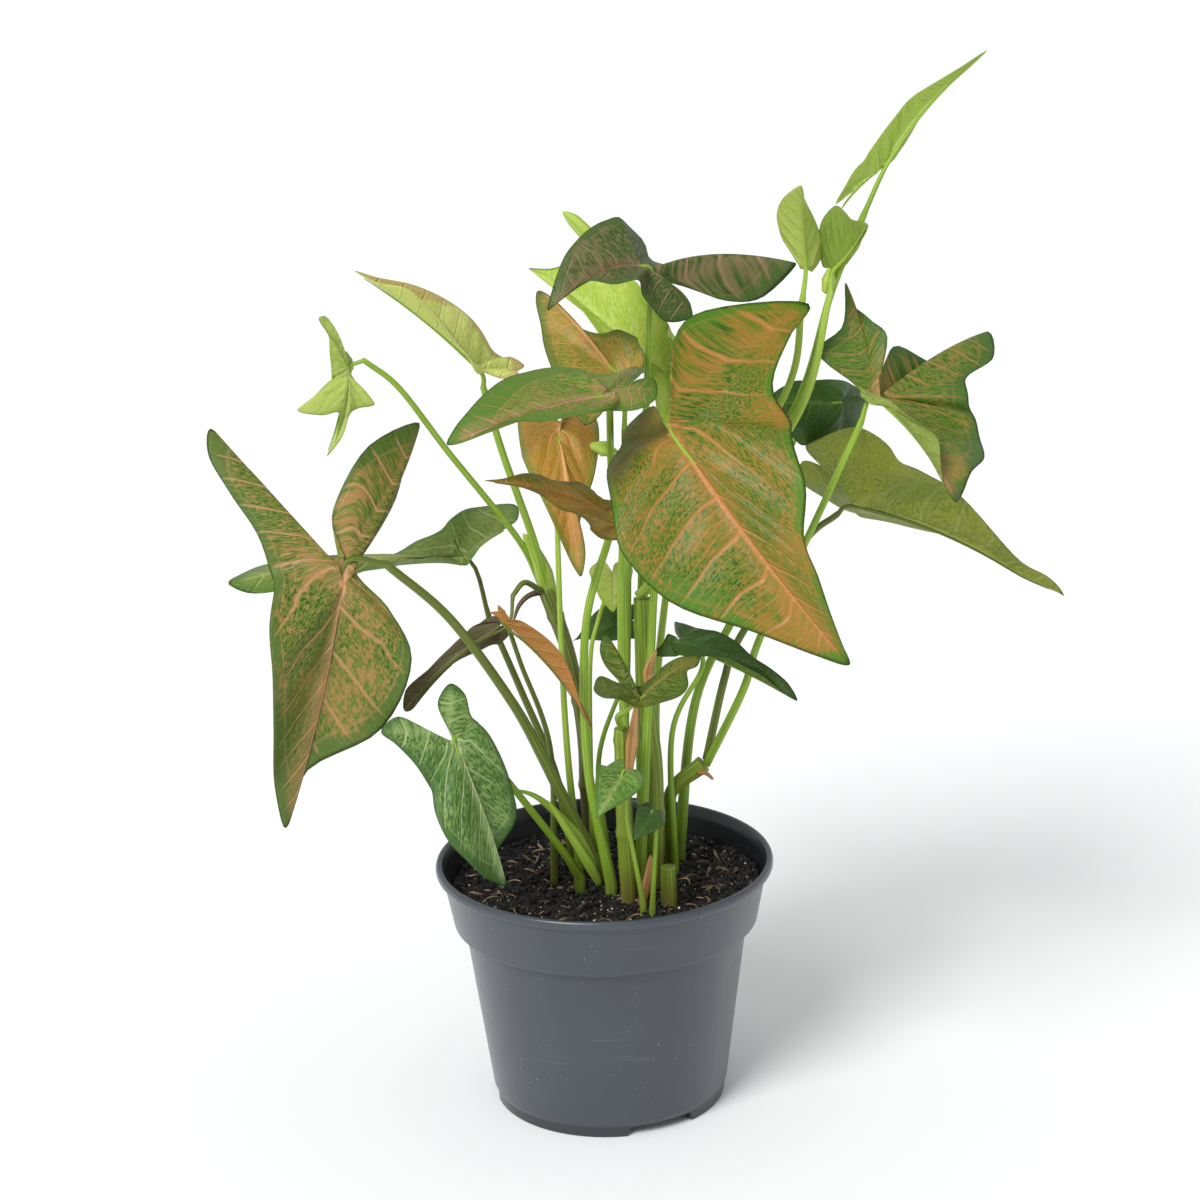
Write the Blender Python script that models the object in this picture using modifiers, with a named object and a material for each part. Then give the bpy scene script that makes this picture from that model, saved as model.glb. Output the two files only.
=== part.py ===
"""An arrowhead plant in its round nursery pot.

The pot stands on the plane z = 0 with its axis on +Z. The side seen in front looks along +Y.
Every leaf is one piece: a thin arrow-shaped blade grown together with its petiole. Petioles
rise from plain holes in the soil, or from the cut-off top of a cane.
"""

import math
from dataclasses import dataclass

import bmesh
import bpy
import numpy as np

MM = 0.001
WELD = 0.01 * MM
AXIS_WELD = 0.1 * MM

# Pot, from a 12 cm rim
RIM_RADIUS = 60.0 * MM
POT_HEIGHT = 89.3 * MM
COLLAR_TOP_RADIUS = 57.6 * MM
COLLAR_LOW_RADIUS = 54.0 * MM
COLLAR_LOW_HEIGHT = 67.0 * MM
BODY_TOP_RADIUS = 50.3 * MM
BODY_LOW_RADIUS = 42.2 * MM
FOOT_RADIUS = 41.3 * MM
FOOT_HEIGHT = 4.0 * MM
WALL = 1.2 * MM
POT_SIDES = 40
PAD_RADIUS = 14.0 * MM
DRAIN_HOLES = 6
DRAIN_RADIUS = 3.2 * MM
DRAIN_CIRCLE = 27.0 * MM
DRAIN_CUT = 3.0 * MM
NOTCHES = 3
NOTCH_WIDTH = 25.0 * MM
NOTCH_DEPTH = 8.0 * MM
NOTCH_HEIGHT = 3.5 * MM
NOTCH_TURN = math.radians(-64.5)
POT_CREASE = math.radians(35)
# The rounded lip, from its crest down its outside: how far in from the rim, and how far down
LIP = ((1.6 * MM, 0), (0.4 * MM, 0.5 * MM), (0, 1.6 * MM), (0.4 * MM, 2.9 * MM))
LIP_FOOT = 3.6 * MM
LIP_INSIDE = (2.4 * MM, 0.6 * MM)
INSIDE_TOP = 3.4 * MM
SHOULDER = 1.2 * MM
INSIDE_SHOULDER = (1.0 * MM, 0.6 * MM)
FOOT_WALL = 1.8 * MM
PAD_SLOPE = 2.0 * MM

# Soil
GAP = 0.3 * MM
SOIL_LEVEL = 80.0 * MM
SOIL_LUMPS = 1.6 * MM
SOIL_SLOPE = 14
SOIL_RINGS = 7
SOIL_RING_STEP = 7.5 * MM
SOIL_EDGE = 1.5 * MM
# Crossing waves of the soil's top: two wave numbers per metre and two phases, or two of a slanted wave
SOIL_WAVES = ((310, 1.3, 270, 0.4), (520, 430))
FOOT_DEPTH = 66.0 * MM
CLEAR_HEIGHT = 84.5 * MM

# Leaves
BLADE_THICKNESS = 0.7 * MM
LOBE_START = math.radians(55)
LOBE_FULL = math.radians(100)
SINUS_HALF = math.radians(6)
HALF_BLADE = 0.4
HEART = 0.08


def collection(name):
    made = bpy.data.collections.new(name)
    bpy.context.scene.collection.children.link(made)
    return made


def material(name, colour, roughness):
    made = bpy.data.materials.new(name)
    made.use_nodes = True
    shader = made.node_tree.nodes["Principled BSDF"]
    shader.inputs["Base Color"].default_value = (*colour, 1)
    shader.inputs["Roughness"].default_value = roughness
    shader.inputs["Metallic"].default_value = 0
    return made


def new_object(name, data, group):
    made = bpy.data.objects.new(name, data)
    group.objects.link(made)
    return made


def paint(thing, finish):
    """Gives the object this one material, whatever its Boolean left in its slots."""
    thing.data.materials.clear()
    thing.data.materials.append(finish)


def evaluated_mesh(thing):
    """The object's mesh with its modifiers applied and coincident points welded."""
    graph = bpy.context.evaluated_depsgraph_get()
    mesh = bpy.data.meshes.new_from_object(thing.evaluated_get(graph))
    shape = bmesh.new()
    shape.from_mesh(mesh)
    bmesh.ops.remove_doubles(shape, verts=shape.verts, dist=WELD)
    shape.to_mesh(mesh)
    shape.free()
    return mesh


def boolean(thing, operation, others):
    """Joins or cuts thing with every object of a collection, applied, and the others removed."""
    change = thing.modifiers.new(operation.title(), "BOOLEAN")
    change.operation = operation
    change.operand_type = "COLLECTION"
    change.collection = others
    change.solver = "EXACT"
    mesh = evaluated_mesh(thing)
    thing.modifiers.clear()
    thing.data = mesh
    for other in list(others.objects):
        bpy.data.objects.remove(other)


def smooth_path(points, steps):
    """Points on a Catmull-Rom curve through hand-placed ones."""
    p = np.array([2 * np.array(points[0]) - points[1], *points, 2 * np.array(points[-1]) - points[-2]])
    t = np.linspace(0, 1, steps, endpoint=False)[:, None]
    runs = []
    for a, b, c, d in zip(p, p[1:], p[2:], p[3:]):
        runs.append(b + 0.5 * t * (c - a + t * (2 * a - 5 * b + 4 * c - d + t * (3 * b - a - 3 * c + d))))
    return np.vstack([*runs, p[-2:-1]])


def tube(name, path, radii, group, sides=6):
    """A round rod along path, its radius running through radii from one end to the other."""
    curve = bpy.data.curves.new(name, "CURVE")
    curve.dimensions = "3D"
    curve.bevel_depth = 1
    curve.bevel_resolution = (sides - 4) // 2
    curve.use_fill_caps = True
    line = curve.splines.new("POLY")
    line.points.add(len(path) - 1)
    place = np.linspace(0, 1, len(path))
    radius = np.interp(place, np.linspace(0, 1, len(radii)), radii)
    for point, (x, y, z), r in zip(line.points, path, radius):
        point.co = (x, y, z, 1)
        point.radius = r
    rod = new_object(name + "_curve", curve, group)
    made = new_object(name, evaluated_mesh(rod), group)
    bpy.data.objects.remove(rod)
    return made


# Half outlines of a flat blade with a midrib of length 1 along +X: from the notch at the
# petiole, round a basal lobe, to the tip. LOBE_POINT is the place of the lobe's own tip.
OUTLINES = {
    "arrow": (
        (-0.03, 0), (-0.10, 0.035), (-0.24, 0.10), (-0.38, 0.20), (-0.46, 0.33), (-0.34, 0.41), (-0.16, 0.42),
        (0.02, 0.405), (0.20, 0.39), (0.40, 0.33), (0.60, 0.235), (0.78, 0.125), (0.90, 0.05), (1, 0),
    ),
    "halberd": (
        (-0.03, 0), (-0.10, 0.045), (-0.26, 0.10), (-0.46, 0.22), (-0.62, 0.42), (-0.46, 0.44), (-0.26, 0.36),
        (-0.06, 0.27), (0.10, 0.27), (0.30, 0.30), (0.52, 0.24), (0.74, 0.13), (0.89, 0.05), (1, 0),
    ),
    "spade": (
        (-0.02, 0), (-0.10, 0.05), (-0.20, 0.12), (-0.30, 0.20), (-0.33, 0.29), (-0.25, 0.36), (-0.12, 0.39),
        (0.04, 0.395), (0.22, 0.38), (0.40, 0.33), (0.58, 0.25), (0.76, 0.15), (0.91, 0.05), (1, 0),
    ),
    "eared": (
        (-0.03, 0), (-0.12, 0.03), (-0.30, 0.07), (-0.50, 0.15), (-0.66, 0.37), (-0.50, 0.36), (-0.32, 0.30),
        (-0.12, 0.18), (0.04, 0.14), (0.18, 0.25), (0.36, 0.31), (0.54, 0.26), (0.74, 0.11), (1, 0),
    ),
    "petal": (
        (-0.03, 0), (-0.09, 0.03), (-0.18, 0.07), (-0.28, 0.13), (-0.37, 0.23), (-0.28, 0.25), (-0.15, 0.21),
        (0.0, 0.19), (0.13, 0.24), (0.30, 0.31), (0.50, 0.29), (0.70, 0.18), (0.87, 0.06), (1, 0),
    ),
    "kite": (
        (-0.05, 0), (-0.15, 0.04), (-0.30, 0.07), (-0.42, 0.12), (-0.50, 0.20), (-0.38, 0.24), (-0.20, 0.20),
        (0.02, 0.15), (0.24, 0.24), (0.44, 0.45), (0.54, 0.30), (0.68, 0.11), (0.85, 0.04), (1, 0),
    ),
    "young": (
        (-0.02, 0), (-0.07, 0.03), (-0.13, 0.06), (-0.18, 0.10), (-0.20, 0.14), (-0.13, 0.18), (-0.03, 0.20),
        (0.10, 0.21), (0.25, 0.21), (0.42, 0.19), (0.60, 0.145), (0.76, 0.09), (0.90, 0.04), (1, 0),
    ),
}
LOBE_POINT = 4


# Places round the margin of a leaf in millimetres, from the notch down its left side to the tip
# and back, as many and in the same order as the points of its outline
MARGINS = {
    "front": (
        (24.5, -47, 256.5), (28, -44.5, 264.5), (26.5, -39.5, 280.5), (37, -27.5, 290),
        (72, -15.5, 289.5), (65.5, -26, 280), (59, -41.5, 266.5), (64, -56.5, 257.5),
        (66.5, -72.5, 245.5), (66, -79, 227), (70, -83.5, 215.5), (73.5, -86.5, 204.5), (77, -87, 194.5),
        (79.5, -86, 186.5), (69, -83, 189), (49, -81, 197), (24, -77.5, 206), (8.5, -71.5, 221.5),
        (5.5, -59, 235.5), (6.5, -32.5, 243), (10, -23, 248.5), (15, -21, 254), (20.5, -23.5, 258),
        (22, -31.5, 258), (22.5, -38.5, 256.5), (23.5, -43.5, 256),
    ),
    "left_hanging": (
        (-84, -30, 211), (-85.5, -28.5, 216), (-87, -24.5, 226), (-75.5, -15, 244.5), (-59, 3, 248.5),
        (-63, -2.5, 238), (-67.5, -11, 224), (-77, -21, 213), (-80.5, -27, 205), (-69.5, -30.5, 192.5),
        (-62.5, -35, 175.5), (-73.5, -40.5, 153.5), (-98.5, -46, 141.5), (-106.5, -48, 122),
        (-109, -52, 138.5), (-107.5, -58.5, 159), (-106.5, -59.5, 179), (-107.5, -51.5, 193.5),
        (-106.5, -38, 204.5), (-111.5, -30.5, 218.5), (-120.5, -27, 233), (-127.5, -23, 245.5),
        (-126.5, -17, 253), (-116, -22.5, 240.5), (-100.5, -25.5, 222.5), (-92, -28, 213),
    ),
    "rim": (
        (-48, -42, 148), (-49, -41.5, 151), (-52, -39.5, 155), (-54.5, -35, 160.5), (-50.5, -30, 165.5),
        (-45.5, -30.5, 162), (-43.5, -34.5, 155.5), (-40, -36.5, 152.5), (-34, -36, 141.5),
        (-30.5, -34.5, 129), (-29.5, -36.5, 118), (-36.5, -40.5, 107.5), (-34.5, -44, 103),
        (-33.5, -44, 97), (-36.5, -46, 99), (-40.5, -51.5, 103.5), (-45, -57, 111), (-51.5, -57.5, 119),
        (-56, -52.5, 128), (-57.5, -46, 134), (-62, -46.5, 142.5), (-68, -48, 150.5), (-73, -48, 155.5),
        (-66.5, -46.5, 160), (-56.5, -44, 151.5), (-51.5, -42.5, 148.5),
    ),
    "crown": (
        (25, 0.5, 297.5), (28, -1, 294.5), (32.5, -2, 290.5), (34.5, -2.5, 286.5), (34, -4, 283),
        (25.5, -7.5, 283), (20.5, -10.5, 289), (17.5, -12.5, 295.5), (16, -17, 299), (9, -18.5, 298),
        (1.5, -19, 299.5), (-4, -18, 297.5), (-9, -17, 293), (-13.5, -16, 289.5), (-11.5, -12.5, 296.5),
        (-8, -9, 305), (-3, -3, 310.5), (3.5, 3, 314.5), (12, 10, 315), (18, 18.5, 307.5),
        (24, 20.5, 297.5), (53.5, 18, 290), (71, 14, 297.5), (59, 11, 286.5), (46, 7.5, 286.5),
        (32.5, 3.5, 293.5),
    ),
    "olive": (
        (7, -3, 259.5), (7, -7.5, 259.5), (5.5, -13.5, 257.5), (3, -18, 254), (-2, -21, 251.5),
        (-5.5, -18.5, 255.5), (-6.5, -14, 261), (-6.5, -9, 263), (-9.5, -8, 262), (-13, 0, 266.5),
        (-15.5, 9, 272.5), (-16.5, 17.5, 278), (-18, 24, 284.5), (-17, 30, 287.5), (-12, 27.5, 285),
        (-8, 24, 280), (-2, 18, 276), (4.5, 12, 275.5), (11, 7, 277.5), (16.5, 2.5, 275),
        (18.5, -1.5, 270.5), (17.5, -5.5, 267.5), (15.5, -9, 265.5), (12.5, -9, 263), (9.5, -6, 260.5),
        (7.5, -3, 259),
    ),
    "shelf": (
        (8.5, -53.5, 269.5), (11, -53.5, 271.5), (16, -51.5, 273.5), (20.5, -48.5, 272.5),
        (21.5, -47.5, 268.5), (20, -52, 266), (13.5, -57.5, 264.5), (5.5, -63.5, 266), (-4, -75, 267.5),
        (-14.5, -79.5, 267), (-26, -82.5, 268), (-33, -84.5, 266), (-39, -84.5, 262.5), (-45, -84, 261.5),
        (-42.5, -80, 266), (-38.5, -76, 270), (-33, -70, 274.5), (-26, -62, 277.5), (-16, -53, 278),
        (-3, -40, 274.5), (7, -31.5, 271), (14, -26, 272), (17.5, -25.5, 270.5), (15.5, -34, 270),
        (13, -42, 270), (10, -49, 269.5),
    ),
    "lime": (
        (32.5, 24.5, 252.5), (32, 19.5, 251.5), (31.5, 13, 248.5), (29, 8, 244), (24, 5.5, 240.5),
        (20.5, 7.5, 261.5), (17, 12, 264), (12, 18.5, 266.5), (5.5, 22.5, 271), (0.5, 30.5, 276),
        (-4.5, 39.5, 281), (-10, 48, 285), (-14, 55, 288), (-21, 62, 289.5), (-13, 58, 290),
        (-4.5, 52, 293), (8, 43, 293.5), (17, 34.5, 288.5), (23, 28.5, 280.5), (27, 21.5, 275),
        (29.5, 14.5, 270.5), (30.5, 8, 266.5), (43, 4.5, 260.5), (40, 8.5, 255.5), (37, 16, 252.5),
        (34, 22.5, 252.5),
    ),
    "right": (
        (96, -10.5, 260.5), (99, -6.5, 266), (104, 2, 270.5), (121.5, 14, 260.5), (137, 24, 270),
        (138, 13, 263), (127.5, 0.5, 259.5), (126, -11.5, 257), (127.5, -12, 250), (129.5, -17, 242.5),
        (129.5, -29, 238.5), (123.5, -42, 237), (119.5, -50.5, 232), (116.5, -56, 231),
        (113.5, -52.5, 235), (112.5, -49.5, 242.5), (112.5, -43.5, 248.5), (107.5, -35.5, 252),
        (102, -24.5, 255), (95, -16.5, 258), (76, -10, 271), (85, -3.5, 279), (86.5, 4, 292),
        (88.5, 2.5, 285.5), (94, -3, 281), (99.5, -8.5, 275.5),
    ),
    "lower_right": (
        (89.5, 20, 212), (85.5, 22, 218.5), (80, 24.5, 223.5), (73.5, 28.5, 224.5), (73, 34.5, 216),
        (81, 40, 208.5), (89.5, 42.5, 202.5), (95, 45, 199.5), (103, 52.5, 195.5), (115.5, 49, 193),
        (131, 41.5, 190.5), (147.5, 33, 184), (160.5, 27, 176), (165.5, 22.5, 174), (158.5, 18.5, 183),
        (146.5, 13.5, 192), (127, 7.5, 215.5), (113.5, 1, 226), (106, -3.5, 230.5), (101.5, -0, 235.5),
        (93, 1, 242), (86, 1.5, 242.5), (76, 5.5, 237.5), (73.5, 12.5, 233), (79.5, 17, 225),
        (86, 19, 217.5),
    ),
    "right_shade": (
        (88, 22.5, 248), (91, 22, 249), (94.5, 24.5, 247.5), (96.5, 29, 245), (96.5, 32, 242),
        (94.5, 28, 239.5), (91.5, 22, 237.5), (85.5, 17, 236.5), (78.5, 11, 236), (72.5, 9, 235),
        (69.5, 7.5, 237.5), (66, 6, 242), (61.5, 6.5, 247.5), (58.5, 8, 250.5), (63, 10, 254),
        (66.5, 10.5, 256), (70, 10.5, 257.5), (75, 12.5, 257), (82.5, 18, 256), (89.5, 28.5, 252.5),
        (94.5, 34.5, 248.5), (96.5, 37, 245.5), (97.5, 37, 243), (96.5, 32, 243.5), (92.5, 28.5, 244.5),
        (89, 25, 246),
    ),
    "furled_top": (
        (96.5, -14, 333.5), (94.5, -12, 331.5), (90, -11, 327.5), (85.5, -10, 322), (84.5, -9.5, 319.5),
        (89.5, -7.5, 325.5), (94, -6.5, 329.5), (100.5, -5.5, 333.5), (105, -4.5, 338.5),
        (109, -4.5, 345), (113, -5, 352.5), (116.5, -6.5, 356.5), (124.5, -8, 362.5), (131.5, -10, 369.5),
        (122, -10.5, 364), (113, -11, 359), (106.5, -11.5, 355), (101.5, -12.5, 349.5),
        (96.5, -14, 343.5), (92.5, -16, 338.5), (88.5, -17.5, 334), (84.5, -18.5, 328),
        (81.5, -18.5, 322.5), (85, -17.5, 324.5), (89, -16, 329.5), (93.5, -15, 332.5),
    ),
    "spoon_left": (
        (72, -11.5, 301), (72.5, -10, 300.5), (73, -8.5, 299.5), (74, -8.5, 299), (74.5, -8.5, 298.5),
        (76.5, -8.5, 301), (77.5, -9, 304), (77.5, -10, 308), (76.5, -12, 313), (74.5, -15.5, 318),
        (72.5, -19.5, 322), (71, -23, 325.5), (70.5, -27, 328), (69.5, -30, 330.5), (68, -27.5, 329.5),
        (65.5, -23.5, 327), (63.5, -18.5, 323.5), (62.5, -14.5, 318.5), (63.5, -11.5, 313),
        (65.5, -10, 308.5), (68, -10, 305.5), (69.5, -8.5, 302.5), (70.5, -7.5, 299.5), (71, -8, 299.5),
        (71.5, -9.5, 300), (72, -11, 300.5),
    ),
    "spoon_right": (
        (81.5, -13.5, 301.5), (81.5, -13, 300.5), (81.5, -12.5, 299.5), (81, -12.5, 298.5),
        (80.5, -13.5, 297.5), (82, -14.5, 299), (83, -16, 300), (84.5, -17, 301.5), (86, -19.5, 304),
        (87.5, -23, 307), (88.5, -26, 309.5), (89.5, -28.5, 313), (90.5, -31, 315.5), (90.5, -33, 318),
        (88.5, -30, 318.5), (86, -26, 318.5), (84.5, -21, 320), (82, -16, 321.5), (79.5, -12.5, 319),
        (77.5, -10.5, 315.5), (76.5, -9.5, 310), (77, -8, 305), (78, -7.5, 300), (79, -8.5, 300),
        (79.5, -10.5, 300.5), (80.5, -12.5, 301),
    ),
    "furled_left": (
        (-33, -9.5, 268.5), (-29.5, -9.5, 269), (-26.5, -9, 268.5), (-24, -9.5, 267.5), (-25, -11, 266.5),
        (-30, -13.5, 266.5), (-36, -16, 270.5), (-39.5, -21.5, 276), (-43, -25.5, 281),
        (-48.5, -28.5, 290), (-54, -31, 297), (-59, -32, 301.5), (-67.5, -32.5, 303.5), (-75, -33, 307.5),
        (-68, -29, 304.5), (-58, -23, 301), (-49.5, -17, 296), (-41.5, -10.5, 289), (-36.5, -5.5, 282),
        (-33.5, -2.5, 275.5), (-30, 1, 271), (-26.5, 4, 270), (-22.5, 5, 267), (-23.5, 2, 266),
        (-27, -2.5, 266), (-30.5, -6, 267),
    ),
    "nodding": (
        (-81, -16, 278), (-80.5, -15, 277.5), (-79.5, -13.5, 275.5), (-79, -11.5, 274),
        (-79, -9.5, 271.5), (-79.5, -10, 270), (-79.5, -12.5, 268.5), (-77.5, -14.5, 265.5),
        (-74.5, -16.5, 263.5), (-72, -16.5, 259.5), (-77.5, -19.5, 259), (-80, -23, 257.5),
        (-82.5, -25.5, 251), (-88, -26, 244.5), (-85, -25.5, 249.5), (-83, -26, 259), (-88.5, -30, 259.5),
        (-96, -33, 262), (-91.5, -25, 264.5), (-85.5, -19.5, 269), (-85.5, -22, 279), (-85.5, -23.5, 285),
        (-88.5, -22.5, 290), (-86, -21, 290.5), (-83, -19.5, 285.5), (-81.5, -18, 280.5),
    ),
    "boat": (
        (9.5, -50, 170.5), (7.5, -49.5, 171.5), (2.5, -47.5, 175.5), (0.5, -44, 180.5), (2.5, -40, 184.5),
        (6.5, -39, 178), (9, -40.5, 171), (11.5, -42, 168), (15.5, -39.5, 167), (19, -37, 169),
        (22, -36.5, 172), (26.5, -36.5, 174.5), (30.5, -36.5, 175), (34, -36, 174.5), (33, -38.5, 172),
        (29.5, -42, 171.5), (29.5, -47.5, 168), (26, -52.5, 166), (16.5, -56.5, 164.5), (8.5, -55, 165.5),
        (2, -57.5, 168), (-1.5, -61, 171.5), (-1.5, -62, 174.5), (0.5, -58, 176), (4.5, -54, 173),
        (7, -51.5, 171),
    ),
    "dark_right": (
        (30, -3.5, 168.5), (29, -1.5, 168.5), (28, 2.5, 169), (27, 7, 170), (27, 10, 172.5),
        (29, 7.5, 173), (32.5, 3.5, 173), (36, -5, 174.5), (41.5, -9, 174.5), (47.5, -13, 172),
        (52.5, -19, 168.5), (58, -24, 166), (64, -28, 161.5), (67, -29, 155.5), (62.5, -27.5, 158),
        (56, -26.5, 163.5), (49.5, -25.5, 167), (43, -22.5, 169.5), (35.5, -17.5, 168.5),
        (29.5, -12, 167), (26, -6, 165), (21.5, -4, 164.5), (18.5, -2, 165), (22, -1.5, 168),
        (24.5, -1.5, 172), (27.5, -2.5, 168.5),
    ),
    "chartreuse": (
        (5.5, 23.5, 187.5), (6, 24.5, 188.5), (6.5, 26.5, 189.5), (8, 29.5, 189.5), (9.5, 31, 189),
        (11.5, 29, 189), (12.5, 25.5, 189), (13, 22.5, 188), (12.5, 18.5, 187), (12, 15, 185.5),
        (10.5, 12, 183.5), (9, 9, 181.5), (7, 7, 179.5), (5.5, 6, 178), (3.5, 7.5, 179.5),
        (1.5, 9, 181.5), (-0, 11.5, 184), (-1.5, 15, 186), (-2, 18.5, 187.5), (-2.5, 22.5, 188),
        (-2, 25.5, 188.5), (-0.5, 29, 189), (1.5, 31, 189.5), (3.5, 29, 189.5), (4.5, 27, 188.5),
        (5.5, 24.5, 187.5),
    ),
    "left_back": (
        (-43.5, 13, 196), (-42, 11.5, 199.5), (-40.5, 10, 203), (-36.5, 8, 206), (-31, 3, 209.5),
        (-35, 1, 207.5), (-39.5, 2, 204), (-43.5, 1, 199), (-51.5, -8, 201.5), (-63, -17, 204),
        (-76, -20, 203.5), (-97, -16.5, 197.5), (-116.5, -11, 193.5), (-125.5, -9, 196.5),
        (-122, -2, 198), (-113, 9, 198.5), (-93, 20.5, 197), (-73.5, 26.5, 195), (-61.5, 25.5, 201),
        (-52, 23, 207), (-46.5, 31, 209.5), (-40, 39.5, 208.5), (-28.5, 43, 208), (-27.5, 32, 205),
        (-35, 24, 203), (-41, 17.5, 200.5),
    ),
    "drooping": (
        (-36, 0.5, 175.5), (-35.5, 1.5, 178), (-34, 1.5, 179), (-32, 0.5, 179.5), (-31, -1, 180),
        (-34.5, -2, 180.5), (-39.5, -2.5, 179), (-44.5, -3, 176), (-49.5, -7, 172.5), (-55, -11.5, 168.5),
        (-59.5, -15.5, 165), (-64.5, -19, 162), (-66.5, -22.5, 159.5), (-66.5, -26, 155),
        (-63.5, -22.5, 154.5), (-60, -16.5, 159), (-55, -9.5, 161.5), (-50, -3, 164), (-43.5, 1, 166),
        (-38.5, 3.5, 167.5), (-34, 2, 169), (-31.5, 4.5, 170.5), (-30, 6, 172.5), (-31, 5, 173.5),
        (-32, 3, 174), (-34, 1, 174.5),
    ),
    "peach": (
        (-10.5, 15, 245), (-9.5, 17, 247.5), (-8.5, 23, 249), (-6, 31, 248.5), (-3.5, 37, 246),
        (1, 31.5, 242.5), (2.5, 22.5, 238.5), (2, 14, 233.5), (0.5, 4.5, 228), (-2.5, -2.5, 221),
        (-5, -10.5, 214.5), (-3.5, -17, 209.5), (-3.5, -21, 205), (-5, -22, 199.5), (-7.5, -19, 202),
        (-10, -17, 207), (-13.5, -14, 215), (-17.5, -8.5, 223), (-22, 0, 230.5), (-24.5, 12.5, 233.5),
        (-25.5, 21, 239), (-25.5, 28.5, 243.5), (-22.5, 33, 247), (-19, 29, 249), (-15.5, 23.5, 247),
        (-12.5, 18.5, 245),
    ),
    "amber": (
        (4.5, -34, 226.5), (7.5, -34, 226), (10, -33.5, 224), (11.5, -33, 220), (12.5, -33.5, 216.5),
        (6.5, -37, 216), (1.5, -40.5, 218), (-1.5, -44, 222.5), (-5, -52, 229), (-11, -55, 232),
        (-16.5, -57, 237), (-22, -58, 240), (-29, -58.5, 242), (-35, -58, 243), (-29, -54, 242.5),
        (-23, -50, 243), (-18, -43.5, 241), (-13, -36.5, 237), (-7, -29, 234.5), (-2, -23.5, 230.5),
        (2.5, -22, 226.5), (8, -21, 225), (13, -22.5, 223.5), (12.5, -26.5, 224), (8.5, -29.5, 224.5),
        (5, -32, 225),
    ),
}


@dataclass
class Leaf:
    """A leaf by its real places in millimetres: where the petiole meets the blade, the blade's
    tip, and the ends of its left and right lobes, seen from above with the tip ahead."""

    name: str
    kind: str
    joint: tuple
    tip: tuple
    left: tuple
    right: tuple
    petiole: tuple
    girth: float = 1.3  # petiole radius at its foot
    bow: float = 0.12  # how far the midrib arches, as a share of its length
    width: float = 1.0
    fold: float = 12.0  # degrees that each half rises from the midrib
    curl: float = 0.0  # further degrees at the margin
    ripple: float = 1.5
    waves: int = 5
    roll: float = 0.0  # degrees that the blade turns about its midrib, its left side up
    hook: float = 0.0  # how far the tip turns up, as a share of the midrib's length
    spokes: int = 20
    rings: int = 3


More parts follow.
